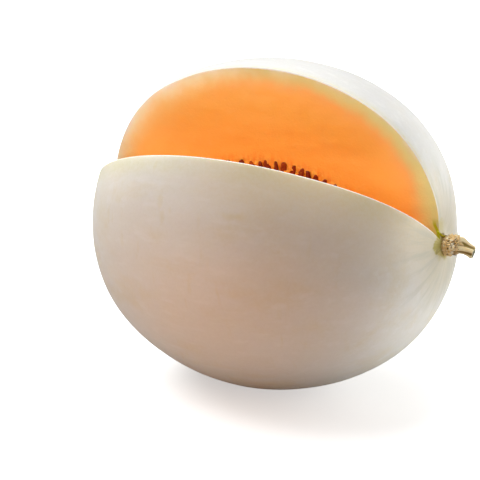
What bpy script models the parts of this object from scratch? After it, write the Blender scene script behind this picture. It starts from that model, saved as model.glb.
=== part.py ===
"""A smooth-rinded cantaloupe with one lengthwise wedge cut out, lying on its side.

The fruit's long axis runs along X, with the stem at +X. Z is up, and the open notch faces up and
towards -Y. The origin is the middle of the small flat spot that the fruit rests on. Metres.
"""

import math
import random

import bmesh
import bpy
from mathutils import Matrix, Vector

# The fruit: a little longer than it is wide, with full shoulders, fuller at the blossom end.
# The shoulders are the share added to an ellipsoid's radius, in powers of the place along the axis.
HALF_LENGTH = 0.095
BELLY_RADIUS = 0.087
SHOULDERS = {2: 0.036, 3: -0.042, 4: 0.1375, 5: 0.034}
FLAT_SPOT_DEPTH = 0.0018
AXIS_HEIGHT = BELLY_RADIUS - FLAT_SPOT_DEPTH

# The low boss of rind that carries the stem, a little off the axis, and the hollow at its foot,
# which is deepest on the side away from the notch
BOSS_Y = -0.0030
BOSS_Z = 0.0022
BOSS_TOP = HALF_LENGTH - 0.0004
BOSS_RADIUS = 0.0066
HOLLOW_DEPTH = 0.0030
HOLLOW_WIDTH = 0.0120

# The dimple at the blossom end
DIMPLE_DEPTH = 0.0012
DIMPLE_WIDTH = 0.0055

# The notch: two flat knife cuts, as angles from straight up towards -Y, that meet beside the stem
FAR_CUT = math.radians(7.0)
NEAR_CUT = math.radians(55.2)
CUTS_MEET = 0.0085

# The seed cavity: an ellipsoid with three shallow lobes, one for each seed chamber
CAVITY_HALF_LENGTH = 0.062
CAVITY_RADIUS = 0.0355
LOBE_HEIGHT = 0.0032
LOBES = 3
LOBE_AT = math.radians(8.0)

# The pulp that fills the cavity, and how far its two open faces lie below the knife cuts
PULP_GAP = 0.0004
PULP_SINK = 0.0030
PULP_WRINKLE = 0.0007
PULP_WRINKLES = 23

# The seeds: flat drops that stand in rows along the cavity wall, tips inwards
SEED_LENGTH = 0.0105
SEED_WIDTH = 0.0046
SEED_THICKNESS = 0.0022
SEED_PITCH = 0.0053
SEED_ROWS = (0.0052, 0.0150, 0.0250)
SEED_PROUD = 0.0006
SEED_TURN = math.radians(16.0)
SEED_ROLL = math.radians(38.0)
SEEDS_MISSING = 0.07
RANDOM_SEED = 7

# The dried stem: a corky foot that narrows to a ribbed stub, which droops a little
STEM_LENGTH = 0.0146
STEM_GAP = 0.0003
STEM_DROOP = math.radians(10.0)
STEM_RIBS = 5
STEM_SECTIONS = (
    # share of the length, radius, height of the ribs as a share of the radius
    (0.00, 0.0048, 0.00),
    (0.04, 0.0054, 0.03),
    (0.15, 0.0056, 0.06),
    (0.30, 0.0051, 0.08),
    (0.42, 0.0045, 0.10),
    (0.55, 0.0039, 0.12),
    (0.70, 0.0033, 0.15),
    (0.85, 0.0029, 0.16),
    (0.97, 0.0027, 0.16),
    (1.00, 0.0024, 0.14),
)

# How finely the faceted solids are cut
RIND_RINGS = 44
RIND_SEGMENTS = 60
POLE_CROWDING = 0.11
CAVITY_SEGMENTS = 36
CAVITY_RINGS = 22
SEED_SIDES = 7
SEED_RINGS = 4
STEM_SIDES = 20


def clear_scene():
    for obj in list(bpy.data.objects):
        bpy.data.objects.remove(obj)


def collection(name):
    made = bpy.data.collections.new(name)
    bpy.context.scene.collection.children.link(made)
    return made


def material(name, colour, roughness):
    made = bpy.data.materials.new(name)
    made.use_nodes = True
    shader = made.node_tree.nodes["Principled BSDF"]
    shader.inputs["Base Color"].default_value = (*colour, 1.0)
    shader.inputs["Roughness"].default_value = roughness
    shader.inputs["Metallic"].default_value = 0.0
    return made


def add_object(name, mesh, where):
    obj = bpy.data.objects.new(name, mesh)
    where.objects.link(obj)
    return obj


def mesh_of(bm, name):
    bm.normal_update()
    bmesh.ops.recalc_face_normals(bm, faces=bm.faces)
    mesh = bpy.data.meshes.new(name)
    bm.to_mesh(mesh)
    bm.free()
    return mesh


def as_cutter(obj):
    obj.hide_render = True
    obj.display_type = "WIRE"
    return obj


def boolean(obj, operation, other):
    modifier = obj.modifiers.new(f"{operation.lower()} {other.name}", "BOOLEAN")
    modifier.operation = operation
    modifier.object = other
    return modifier


def apply_modifiers(obj):
    graph = bpy.context.evaluated_depsgraph_get()
    made = bpy.data.meshes.new_from_object(obj.evaluated_get(graph))
    obj.modifiers.clear()
    obj.data = made


def outward(angle):
    """The direction square to the fruit's axis, at this angle from straight up towards -Y."""
    return Vector((0.0, -math.sin(angle), math.cos(angle)))


def on_axis(x):
    return Vector((x, 0.0, AXIS_HEIGHT))


def rind_at(turn):
    """(place along the axis, radius) of the rind, for a turn from 0 at the stem to pi at the blossom end."""
    c = math.cos(turn)
    fullness = 1 + sum(share * c**power for power, share in SHOULDERS.items())
    radius = BELLY_RADIUS * math.sin(turn) * fullness
    if c > 0:
        return HALF_LENGTH * c, radius
    return HALF_LENGTH * c + DIMPLE_DEPTH * math.exp(-((radius / DIMPLE_WIDTH) ** 2)), radius


def lobed(angle):
    """The cavity's radius at mid length, at this angle from straight up towards -Y."""
    return CAVITY_RADIUS + LOBE_HEIGHT * math.cos(LOBES * (angle - LOBE_AT))


def whole_fruit(where):
    """The rind's profile, stem end first, turned round the fruit's axis."""
    bm = bmesh.new()
    points = []
    for i in range(RIND_RINGS + 1):
        share = i / RIND_RINGS
        along, radius = rind_at(math.pi * (share - POLE_CROWDING * math.sin(2 * math.pi * share)))
        if i in (0, RIND_RINGS):
            radius = 0.0
        points.append(bm.verts.new((radius, 0.0, along)))
    for upper, lower in zip(points, points[1:]):
        bm.edges.new((upper, lower))
    mesh = bpy.data.meshes.new("melon")
    bm.to_mesh(mesh)
    bm.free()
    fruit = add_object("melon", mesh, where)
    fruit.rotation_euler = (0.0, math.pi / 2, 0.0)
    fruit.location = on_axis(0.0)
    turned = fruit.modifiers.new("turned", "SCREW")
    turned.axis = "Z"
    turned.steps = turned.render_steps = RIND_SEGMENTS
    turned.use_merge_vertices = True
    turned.merge_threshold = 0.00002
    turned.use_smooth_shade = True
    return fruit


def raise_boss(fruit):
    """Shapes the stem end: the fruit's own axis is Z here, and its X is the downward side."""
    to_notch = outward((FAR_CUT + NEAR_CUT) / 2)
    for vert in fruit.data.vertices:
        if vert.co.z < 0:
            continue
        off = Vector((0.0, vert.co.y - BOSS_Y, -vert.co.x - BOSS_Z))
        away = off.length
        side = off.dot(to_notch) / (away + BOSS_RADIUS / 4)
        vert.co.z -= HOLLOW_DEPTH * math.exp(-((away / HOLLOW_WIDTH) ** 2)) * (1 - side) / 2
        boss = math.exp(-((away / BOSS_RADIUS) ** 4))
        vert.co.z += boss * (BOSS_TOP - vert.co.z)


def notch_cutter(where, name, sink):
    """A wedge between the two knife cuts, with both of its faces moved into the fruit by sink."""
    reach = 2 * BELLY_RADIUS
    half_span = (NEAR_CUT - FAR_CUT) / 2
    middle = (NEAR_CUT + FAR_CUT) / 2
    tip = on_axis(0.0) + CUTS_MEET * outward(NEAR_CUT) - sink / math.sin(half_span) * outward(middle)
    outline = [tip, tip + reach * outward(FAR_CUT), tip + reach * outward(NEAR_CUT)]
    bm = bmesh.new()
    side = bm.faces.new([bm.verts.new(point - Vector((reach, 0.0, 0.0))) for point in outline])
    swept = bmesh.ops.extrude_face_region(bm, geom=[side])["geom"]
    far_end = [item for item in swept if isinstance(item, bmesh.types.BMVert)]
    bmesh.ops.translate(bm, verts=far_end, vec=(2 * reach, 0.0, 0.0))
    return as_cutter(add_object(name, mesh_of(bm, name), where))


def floor_cutter(where):
    """A block under the fruit, whose top makes the flat spot."""
    bm = bmesh.new()
    bmesh.ops.create_cube(bm, size=2 * BELLY_RADIUS)
    bmesh.ops.translate(bm, verts=bm.verts, vec=(0.0, 0.0, -BELLY_RADIUS))
    return as_cutter(add_object("floor_cutter", mesh_of(bm, "floor_cutter"), where))


def cavity_shape(where, name, gap):
    """The three-lobed cavity, made smaller all round by gap."""
    bm = bmesh.new()
    bmesh.ops.create_uvsphere(bm, u_segments=CAVITY_SEGMENTS, v_segments=CAVITY_RINGS, radius=1.0)
    for vert in bm.verts:
        away = math.hypot(vert.co.x, vert.co.y)
        angle = math.atan2(vert.co.y, vert.co.x)
        along = vert.co.z * (CAVITY_HALF_LENGTH - gap)
        vert.co = on_axis(along) + away * (lobed(angle) - gap) * outward(angle)
    return add_object(name, mesh_of(bm, name), where)


def wrinkle_pulp(pulp):
    """Shallow folds along the pulp's rim, only ever inwards, so that it stays clear of the wall."""
    for vert in pulp.data.vertices:
        fold = math.sin(PULP_WRINKLES * vert.co.x / CAVITY_RADIUS)
        fold *= math.sin(PULP_WRINKLES * vert.co.y / CAVITY_HALF_LENGTH)
        inward = (on_axis(vert.co.x) - vert.co).normalized()
        vert.co += PULP_WRINKLE * (1 + fold) / 2 * inward


def seed_mesh():
    """One seed: a flat drop along Z, with its round end at +Z and its flat sides facing +X and -X."""
    bm = bmesh.new()
    bmesh.ops.create_uvsphere(bm, u_segments=SEED_SIDES, v_segments=SEED_RINGS, radius=0.5)
    for vert in bm.verts:
        taper = 1 + 0.5 * vert.co.z
        vert.co.x *= SEED_THICKNESS * taper
        vert.co.y *= SEED_WIDTH * taper
        vert.co.z *= SEED_LENGTH
    return mesh_of(bm, "seed")


def row_of_places(cut, below_wall):
    """Evenly spaced (x, height above the axis, outward slope) along an arc that follows the cavity wall."""
    across = lobed(cut) - below_wall
    along = CAVITY_HALF_LENGTH - below_wall
    steps = 400
    travelled = SEED_PITCH / 2
    places = []
    last = None
    for i in range(steps + 1):
        turn = math.pi * i / steps
        here = Vector((along * math.cos(turn), across * math.sin(turn)))
        if last is not None:
            travelled += (here - last).length
        last = here
        if travelled >= SEED_PITCH:
            travelled -= SEED_PITCH
            normal = Vector((here.x / along**2, here.y / across**2)).normalized()
            places.append((here, normal))
    return places


def place_seeds(where):
    """The seeds on both open faces of the pulp, each half sunk in it."""
    draw = random.Random(RANDOM_SEED)
    mesh = seed_mesh()
    for cut, side in ((FAR_CUT, 1.0), (NEAR_CUT, -1.0)):
        up_the_cut = outward(cut)
        out_of_pulp = side * Vector((1.0, 0.0, 0.0)).cross(up_the_cut)
        level = CUTS_MEET * outward(NEAR_CUT).dot(out_of_pulp) - PULP_SINK + SEED_PROUD
        for below_wall in SEED_ROWS:
            for here, normal in row_of_places(cut, below_wall):
                turn = draw.uniform(-SEED_TURN, SEED_TURN)
                roll = draw.uniform(-SEED_ROLL, SEED_ROLL)
                if draw.random() < SEEDS_MISSING or here.y < CUTS_MEET + SEED_WIDTH / 2:
                    continue
                long_way = normal.x * Vector((1.0, 0.0, 0.0)) + normal.y * up_the_cut
                wide_way = out_of_pulp.cross(long_way)
                frame = Matrix((out_of_pulp, wide_way, long_way)).transposed().to_4x4()
                spot = on_axis(here.x) + here.y * up_the_cut + level * out_of_pulp
                seed = add_object("seed", mesh, where)
                seed.matrix_world = (
                    Matrix.Translation(spot)
                    @ Matrix.Rotation(turn, 4, out_of_pulp)
                    @ frame
                    @ Matrix.Rotation(roll, 4, "Z")
                )


def melon_body(model, cutters):
    """Rind and flesh, which grew as one piece, with the wedge, the cavity and the flat spot cut out."""
    fruit = whole_fruit(model)
    apply_modifiers(fruit)
    raise_boss(fruit)
    boolean(fruit, "DIFFERENCE", notch_cutter(cutters, "notch_cutter", 0.0))
    boolean(fruit, "DIFFERENCE", as_cutter(cavity_shape(cutters, "cavity_cutter", 0.0)))
    boolean(fruit, "DIFFERENCE", floor_cutter(cutters))
    fruit.data.materials.append(material("rind", (0.80, 0.78, 0.68), 0.42))
    return fruit


def seed_mass(model, cutters):
    """The stringy pulp that holds the seeds, with the seeds fused to it as they grow."""
    pulp = cavity_shape(model, "seeds_and_pulp", PULP_GAP)
    wrinkle_pulp(pulp)
    boolean(pulp, "DIFFERENCE", notch_cutter(cutters, "pulp_cutter", PULP_SINK))
    seeds = collection("loose seeds")
    place_seeds(seeds)
    fused = pulp.modifiers.new("fuse seeds", "BOOLEAN")
    fused.operation = "UNION"
    fused.operand_type = "COLLECTION"
    fused.collection = seeds
    boolean(pulp, "INTERSECT", as_cutter(cavity_shape(cutters, "wall_clearance", PULP_GAP)))
    apply_modifiers(pulp)
    for seed in list(seeds.objects):
        bpy.data.objects.remove(seed)
    bpy.data.collections.remove(seeds)
    pulp.data.materials.clear()
    pulp.data.materials.append(material("seeds and pulp", (0.75, 0.32, 0.07), 0.35))
    return pulp


def stem(model):
    """A loft of ribbed rings along a short arc that droops from the fruit's axis."""
    foot = Vector((BOSS_TOP + STEM_GAP, BOSS_Y, AXIS_HEIGHT + BOSS_Z))
    bm = bmesh.new()
    rings = []
    for share, radius, rib in STEM_SECTIONS:
        bend = STEM_DROOP * share
        drop = STEM_LENGTH * share * math.sin(bend)
        centre = foot + Vector((STEM_LENGTH * share * math.cos(bend), 0.0, -drop))
        across = Vector((-math.sin(bend), 0.0, -math.cos(bend)))
        ring = []
        for k in range(STEM_SIDES):
            angle = 2 * math.pi * k / STEM_SIDES
            away = math.cos(angle) * across + math.sin(angle) * Vector((0.0, 1.0, 0.0))
            ribbed = radius * (1 + rib * math.cos(STEM_RIBS * angle))
            ring.append(bm.verts.new(centre + ribbed * away))
        rings.append(ring)
    for near, far in zip(rings, rings[1:]):
        for k in range(STEM_SIDES):
            following = (k + 1) % STEM_SIDES
            bm.faces.new((near[k], near[following], far[following], far[k]))
    bm.faces.new(rings[0])
    bm.faces.new(rings[-1])
    stub = add_object("stem", mesh_of(bm, "stem"), model)
    stub.data.shade_smooth()
    stub.data.set_sharp_from_angle(angle=math.radians(50.0))
    stub.data.materials.append(material("stem", (0.42, 0.30, 0.14), 0.75))
    return stub


def main():
    clear_scene()
    model = collection("cantaloupe")
    cutters = collection("cutters")
    melon_body(model, cutters)
    seed_mass(model, cutters)
    stem(model)


main()
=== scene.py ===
"""The looks of a cut cantaloupe: rind, flesh, pulp, seeds and stem, with the studio round it.

The fruit's long axis runs along X with the stem at +X, Z is up, and the notch faces up and
towards -Y. Angles round the axis are counted from straight up towards -Y. Metres.
"""

import math
import random

import bmesh
import bpy
import numpy as np
from mathutils import Matrix, Vector
from mathutils.kdtree import KDTree


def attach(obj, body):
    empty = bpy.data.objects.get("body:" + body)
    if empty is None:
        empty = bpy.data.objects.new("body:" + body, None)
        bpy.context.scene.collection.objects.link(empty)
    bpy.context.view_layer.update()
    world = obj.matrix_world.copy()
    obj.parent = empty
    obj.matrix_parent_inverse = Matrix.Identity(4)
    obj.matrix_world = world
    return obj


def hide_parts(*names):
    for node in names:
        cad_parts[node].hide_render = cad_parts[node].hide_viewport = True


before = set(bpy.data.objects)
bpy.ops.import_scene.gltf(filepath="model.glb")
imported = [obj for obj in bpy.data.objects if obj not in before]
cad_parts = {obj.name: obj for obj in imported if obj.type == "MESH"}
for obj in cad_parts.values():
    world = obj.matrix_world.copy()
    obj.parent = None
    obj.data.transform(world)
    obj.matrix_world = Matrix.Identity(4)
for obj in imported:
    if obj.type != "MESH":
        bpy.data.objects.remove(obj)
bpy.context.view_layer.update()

# The fruit, as in the solids
HALF_LENGTH = 0.095
BELLY_RADIUS = 0.087
SHOULDERS = {2: 0.0363, 3: -0.0424, 4: 0.1375, 5: 0.0342}
FLAT_SPOT_DEPTH = 0.0018
SPOT_EASE = 0.0004
AXIS_HEIGHT = BELLY_RADIUS - FLAT_SPOT_DEPTH
DIMPLE_DEPTH = 0.0012
DIMPLE_WIDTH = 0.0055

# The boss of rind that carries the stem, and the hollow at its foot
BOSS_Y = -0.0030
BOSS_Z = 0.0022
BOSS_TOP = HALF_LENGTH - 0.0004
BOSS_RADIUS = 0.0075
BOSS_STEEPNESS = 3.0
LOW_SHOULDER = 0.0017
LOW_SHOULDER_IN = (0.004, -0.008)
LOW_SHOULDER_OUT = (-0.020, -0.065)
LOW_SHOULDER_ALONG = (0.010, 0.070)
HOLLOW_DEPTH = 0.0034
HOLLOW_WIDTH = 0.0120
HOLLOW_FROM = math.radians(145.0)
HOLLOW_SIDE = (0.35, -0.50)

# The two knife cuts
FAR_CUT = math.radians(7.0)
NEAR_CUT = math.radians(55.2)
CUTS_MEET = 0.0085
MID_CUT = (FAR_CUT + NEAR_CUT) / 2
FAR_OFF_AXIS = CUTS_MEET * math.sin(NEAR_CUT - FAR_CUT)

# The seed cavity
CAVITY_HALF_LENGTH = 0.062
CAVITY_RADIUS = 0.0355
LOBE_HEIGHT = 0.0032
LOBES = 3
LOBE_AT = math.radians(8.0)

# The pulp and its seeds
PULP_PAST_WALL = 0.0018
PULP_SINK = -0.0001
PULP_PROUD = 0.00010
PULP_TUCK = 0.0007
PULP_DIP = 0.0016
PULP_DIP_OVER = 0.012
PULP_VOXEL = 0.00068
PULP_RELIEF = 0.00042
WALL_STEPS = 720
BED_HEART = 0.0080
BED_RINGS = 120
BED_SIDES = 180
BED_END = 0.04
NO_CUT = 1.0
STRAND_RADIUS = 0.00062
STRAND_STEPS = 9
STRAND_SIDES = 7
STRANDS_MISSING = 0.12
STRAND_LOWEST = 0.004
STRAND_LEVEL = -0.0009
STRAND_ROWS = (
    # distance below the cavity wall, distance between strands, length
    (0.0010, 0.0019, 0.0090),
    (0.0100, 0.0026, 0.0100),
    (0.0190, 0.0032, 0.0100),
)
SEED_LENGTH = 0.0098
SEED_WIDTH = 0.0040
SEED_THICKNESS = 0.0021
SEED_PITCH = 0.0045
SEED_ROWS = (0.0060, 0.0152, 0.0248)
SEED_LEVEL = (-0.0005, -0.0012, -0.0016)
SEED_TURN = math.radians(16.0)
SEED_ROLL = (math.radians(12.0), math.radians(48.0))
SEED_TIP = math.radians(9.0)
SEEDS_MISSING = 0.06
SEED_ROWS_ROUND, SEED_SIDES = 15, 14

# The stem: a corky foot and a ribbed stub
STEM_LENGTH = 0.0150
STEM_GAP = 0.0003
STEM_PLACE = (BOSS_TOP + STEM_GAP, BOSS_Y, AXIS_HEIGHT + BOSS_Z)
STEM_ROOT = 0.0015
STEM_DROOP = math.radians(13.0)
STEM_RISE = 0.0008
STEM_RIBS = 5
STEM_FINE_RIBS = 17
STEM_TWIST = 0.9
STEM_ROWS, STEM_COLUMNS = 150, 150
STEM_SECTIONS = (
    # share of the length, radius, height of the ribs as a share of the radius
    (0.00, 0.0044, 0.02),
    (0.05, 0.0048, 0.05),
    (0.18, 0.0049, 0.08),
    (0.30, 0.0047, 0.10),
    (0.42, 0.0043, 0.12),
    (0.55, 0.0038, 0.13),
    (0.70, 0.0032, 0.15),
    (0.85, 0.0030, 0.16),
    (0.97, 0.0029, 0.16),
    (1.00, 0.0026, 0.14),
)
FLAKES = 48
# A dark flake on the underside of the foot, towards the near side: a painted shadow under a peel
SHADOW_FLAKE = {
    "share": 0.27, "angle": -0.40, "length": 0.0046, "width": 0.0018, "curl": 0.12, "lean": 0.10,
    "tone": 0.02,
}
FLAKE_THICKNESS = 0.00022
FLAKE_LIFT = 0.0002
PEELS = 54
PEEL_STEPS = 15
PEEL_BENDS = 6
FOOT_RADIUS = 0.0047
PEEL_PATHS = (
    # a peel's path: share of the stem's length, degrees round it from its underside
    ((0.12, -128), (0.05, -112), (0.03, -88), (0.06, -66), (0.14, -58)),
    ((0.42, -122), (0.33, -114), (0.27, -96), (0.26, -72), (0.33, -52), (0.43, -38)),
    ((0.18, -62), (0.26, -48), (0.36, -34), (0.45, -26)),
    ((0.20, -140), (0.28, -128), (0.36, -136), (0.47, -128)),
)

# How finely the melon is made
CAP_ROWS = 8
ROWS = 200
RIND_COLUMNS = 230
FACE_COLUMNS = 52
CAVITY_COLUMNS = 96
CAVITY_CAP_ROWS = 5
LIP_COLUMNS = 5
LIP_WIDTH = 0.0008
RIND_LUMPS = 0.0045
FACE_RELIEF = 0.00009
END_ROWS = ROWS // 5
END_EASE = 1.25
LIP_FADE = 0.012
SMALL_LUMPS = 0.18
LUMPS_FADE = 0.05
FACE_CREASE = math.radians(50.0)
CAVITY_DEPTH = 0.04

# Colours, linear. Rind
RIND_PLAIN = (0.84, 0.82, 0.75)
RIND_WARM = (0.85, 0.81, 0.71)
RIND_COOL = (0.85, 0.84, 0.79)
# Painted shade: the upper rind is greyer and its crest darker, toning down the strong light from above
RIND_TOP_SHADE = (0.82, 0.815, 0.79)
RIND_CREST_SHADE = (0.74, 0.735, 0.715)
RIND_PALE = (0.92, 0.91, 0.87)
RIND_YELLOW = (0.82, 0.76, 0.60)
# Part of this creamy band under the near rim is painted warm bounce light
RIND_CREAM_GLOW = (0.93, 0.77, 0.48)
RIND_STREAK = (0.76, 0.68, 0.42)
RIND_BLOOM = (0.97, 0.96, 0.93)
RIND_TINT = (0.74, 0.70, 0.42)
RIND_GREY_GREEN = (0.60, 0.60, 0.48)
NECK_GREEN = (0.49, 0.42, 0.115)
NECK_PALE = (0.64, 0.56, 0.24)
# Painted shade, for the crease at the lower foot of the boss
NECK_CREASE_SHADE = (0.32, 0.24, 0.09)
NECK_WAY = (0.0, -0.98, 0.20)
SHOULDER_WARM = (0.63, 0.585, 0.46)
SCAR = (0.30, 0.20, 0.10)
# The lip's white is partly a painted highlight along the knife's edge
LIP_WHITE_HIGHLIGHT = (0.93, 0.93, 0.90)

# Marks on the rind: place relative to the floor under its middle, size, strength
RIND_MARKS = (
    ((-0.0292, -0.0724, 0.1283), (0.0012, 0.0040, 0.0035), 0.38),
    ((-0.0185, -0.0776, 0.1193), (0.0011, 0.0030, 0.0025), 0.17),
    ((-0.0215, -0.0806, 0.1134), (0.0017, 0.0060, 0.0062), 0.23),
    ((-0.0196, -0.0829, 0.1066), (0.0020, 0.0050, 0.0040), 0.33),
    ((-0.0152, -0.0823, 0.1104), (0.0011, 0.0030, 0.0022), 0.23),
    ((0.0188, -0.0818, 0.1113), (0.0062, 0.0040, 0.0022), 0.38),
    ((-0.0499, -0.0717, 0.1089), (0.0040, 0.0040, 0.0020), 0.17),
    ((-0.0454, -0.0773, 0.0918), (0.0018, 0.0040, 0.0048), 0.20),
    ((0.0210, -0.0752, 0.1230), (0.0045, 0.0030, 0.0016), 0.15),
    ((0.0512, -0.0647, 0.1207), (0.0050, 0.0030, 0.0007), 0.30),
    ((0.0836, -0.0396, 0.1079), (0.0026, 0.0030, 0.0022), 0.33),
)

# Marks round the stem: place, size, strength, colour
NECK_MARKS = (
    # The first mark is painted shade in the crease at the lower foot of the boss
    ((0.0938, -0.0140, 0.0862), (0.0030, 0.0016, 0.0024), 0.65, NECK_CREASE_SHADE),
    ((0.0932, -0.0048, 0.0966), (0.0040, 0.0042, 0.0052), 0.90, (0.62, 0.54, 0.25)),
    ((0.0934, -0.0018, 0.0948), (0.0040, 0.0046, 0.0046), 0.55, (0.64, 0.58, 0.34)),
    # These four lay the olive strand over the boss; their darkening towards the cork is painted shade in the
    # hollow by its foot
    ((0.0931, -0.0079, 0.0943), (0.0030, 0.0022, 0.0013), 1.00, (0.36, 0.30, 0.002)),
    ((0.0935, -0.0064, 0.0930), (0.0030, 0.0022, 0.0012), 1.00, (0.32, 0.26, 0.002)),
    ((0.0938, -0.0052, 0.0924), (0.0030, 0.0022, 0.0012), 1.00, (0.28, 0.22, 0.002)),
    ((0.0941, -0.0036, 0.0918), (0.0030, 0.0024, 0.0012), 1.00, (0.22, 0.14, 0.003)),
    ((0.0938, -0.0110, 0.0828), (0.0030, 0.0026, 0.0018), 0.45, NECK_PALE),
)

# Flesh, by depth below the rind as a share of the band's depth
BAND_DEPTH = 0.020
GREEN_FROM = (-0.060, 0.030)
GREEN_BAND = (
    (0.000, (0.74, 0.72, 0.50)),
    (0.060, (0.70, 0.66, 0.33)),
    (0.130, (0.71, 0.655, 0.28)),
    (0.200, (0.74, 0.62, 0.25)),
    (0.290, (0.79, 0.565, 0.205)),
    (0.370, (0.87, 0.50, 0.165)),
    (0.475, (0.94, 0.44, 0.120)),
    (0.650, (0.98, 0.435, 0.092)),
    (1.000, (0.98, 0.437, 0.078)),
)
PEACH_BAND = (
    (0.000, (0.92, 0.90, 0.80)),
    (0.060, (0.94, 0.85, 0.64)),
    (0.140, (0.97, 0.80, 0.50)),
    (0.220, (0.98, 0.72, 0.380)),
    (0.310, (0.98, 0.64, 0.270)),
    (0.400, (0.98, 0.575, 0.200)),
    (0.575, (0.98, 0.50, 0.125)),
    (0.700, (0.98, 0.465, 0.100)),
    (1.000, (0.98, 0.440, 0.078)),
)
# Painted shade for the near cut, which lies in full light
NEAR_FACE_SHADE = (0.90, 0.84, 0.80)
FLESH_END = (0.86, 0.80, 0.34)
FLESH_CAVITY = (0.97, 0.43, 0.065)
FLESH_FRINGE = (0.90, 0.20, 0.012)
FLESH_PALE = (0.97, 0.51, 0.130)
FLESH_DEEP = (0.95, 0.38, 0.055)

# The olive layer under the rind by the stem, and the strand that runs on from it
OLIVE = (0.49, 0.52, 0.002)
OLIVE_EDGE = (0.66, 0.61, 0.38)
OLIVE_HEIGHTS = (0.1020, 0.0975)
# Painted shade on the strand's end, in the hollow by the cork
OLIVE_SHADE = (0.30, 0.20, 0.003)
OLIVE_LIGHT = (0.66, 0.62, 0.010)
OLIVE_PATH = (
    # place, radius
    ((0.0928, -0.0092, 0.0951), 0.00035),
    ((0.0932, -0.0077, 0.0941), 0.00060),
    ((0.0936, -0.0063, 0.0930), 0.00068),
    ((0.0939, -0.0052, 0.0922), 0.00070),
    ((0.0942, -0.0039, 0.0917), 0.00066),
    ((0.0944, -0.0025, 0.0914), 0.00060),
    ((0.0946, -0.0010, 0.0912), 0.00040),
)
OLIVE_SIDES = 12

# Pulp and seeds
PULP_DEEP = (0.82, 0.20, 0.012)
PULP_ORANGE = (0.92, 0.33, 0.035)
PULP_PALE = (0.95, 0.38, 0.050)
# The seeds' dark red-browns are painted shade and orange bounce light, over seeds that are paler
SEED_SHADED_DARK = (0.14, 0.007, 0.001)
SEED_SHADED_BROWN = (0.23, 0.026, 0.001)
SEED_SHADED_RED = (0.40, 0.066, 0.002)
SEED_SHADED_AMBER = (0.72, 0.19, 0.010)

# Stem
CORK_BROWN = (0.24, 0.11, 0.035)
CORK_TAN = (0.88, 0.60, 0.24)
CORK_PINK = (0.96, 0.74, 0.40)
CORK_PALE = (0.99, 0.92, 0.72)
# Near-black: painted shade in the cork's cracks and under its peels, and the darkest tone of some flakes
CORK_DARK_AND_SHADE = (0.060, 0.022, 0.006)
RIB_TAN = (0.93, 0.70, 0.34)
RIB_STRAW = (0.99, 0.86, 0.52)
RIB_CREAM = (0.99, 0.93, 0.70)
# The grooves' olive is partly their own colour and partly painted shade
GROOVE_OLIVE_AND_SHADE = (0.26, 0.21, 0.045)
GROOVE_BROWN_AND_SHADE = (0.38, 0.24, 0.08)
END_DARK = (0.10, 0.10, 0.06)
END_GREY = (0.26, 0.27, 0.18)

# Camera
CAMERA_AZIMUTH = math.radians(27.03)
CAMERA_ELEVATION = math.radians(16.29)
CAMERA_SHIFT = (0.1889, 0.0906)
CAMERA_DISTANCE = 6.999
CAMERA_LENS = 94.34

# Floor and lights
FLOOR_REACH = 12.0
WHITE = (1.0, 1.0, 1.0)
FLOOR_WHITE = 0.95
FLOOR_GLOW = 0.52
FLOOR_BOUNCE = 0.42
SUN_STRENGTH = 2.3
SUN_SPREAD = math.radians(60.0)
SUN_FROM = (-0.5, 0.1, 1.0)
FRUIT_MIDDLE = (0.0, 0.0, AXIS_HEIGHT)
WARM_GLOW = (1.0, 0.38, 0.08)
PANEL_DISTANCE = 1.2
PANEL_SIZE = (0.9, 0.8)
PANELS = (
    # name, degrees round the fruit from the camera to its right, degrees up, brightness
    ("back", 180.0, 50.0, 2.45),
    ("left", -90.0, 50.0, 2.6),
    ("right", 88.0, 8.0, 2.0),
    ("right_back", 130.0, 10.0, 2.2),
)
NOTCH_AIM = 0.1
WORLD_FILL = 0.0
WORLD_TINT = (1.0, 0.99, 0.98)

rng = np.random.default_rng(11)


def outward(angle):
    """Unit vectors square to the axis, at these angles from straight up towards -Y."""
    angle = np.asarray(angle, float)
    return np.stack([np.zeros_like(angle), -np.sin(angle), np.cos(angle)], -1)


def smoothstep(low, high, value):
    t = np.clip((value - low) / (high - low), 0.0, 1.0)
    return t * t * (3 - 2 * t)


class Waves:
    """Smooth noise of about -1 to 1: a fixed sum of sine waves that run in all directions."""

    def __init__(self, size, count=28, stretch=(1.0, 1.0, 1.0)):
        way = rng.normal(size=(count, 3))
        way /= np.linalg.norm(way, axis=1)[:, None]
        pitch = rng.uniform(0.6, 1.5, size=(count, 1))
        self.ways = 2 * math.pi * way * pitch / (size * np.array(stretch))
        self.phases = rng.uniform(0, 2 * math.pi, count)
        self.scale = 1.6 / math.sqrt(count)

    def __call__(self, points):
        flat = np.asarray(points, float).reshape(-1, 3)
        value = np.sin(flat @ self.ways.T + self.phases).sum(1) * self.scale
        return value.reshape(np.shape(points)[:-1])


# The melon's rind, flesh and cavity

broad_lumps = Waves(0.075, stretch=(1.4, 1.0, 1.0))
small_lumps = Waves(0.022, stretch=(1.8, 1.0, 1.0))
face_waves = Waves(0.012)
drag_waves = Waves(0.004, stretch=(9.0, 1.0, 1.0))
pulp_lumps = Waves(0.0045)
pulp_grain = Waves(0.0016)
cork_waves = Waves(0.004)
cork_plates = Waves(0.0030, stretch=(1.6, 1.0, 1.0))
cork_chips = Waves(0.0012)


def profile(turn):
    """Place along the axis and radius, for a turn from 0 at the stem to pi at the blossom end."""
    c = np.cos(turn)
    fullness = 1 + sum(share * c**power for power, share in SHOULDERS.items())
    return HALF_LENGTH * c, BELLY_RADIUS * np.abs(np.sin(turn)) * fullness


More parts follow.
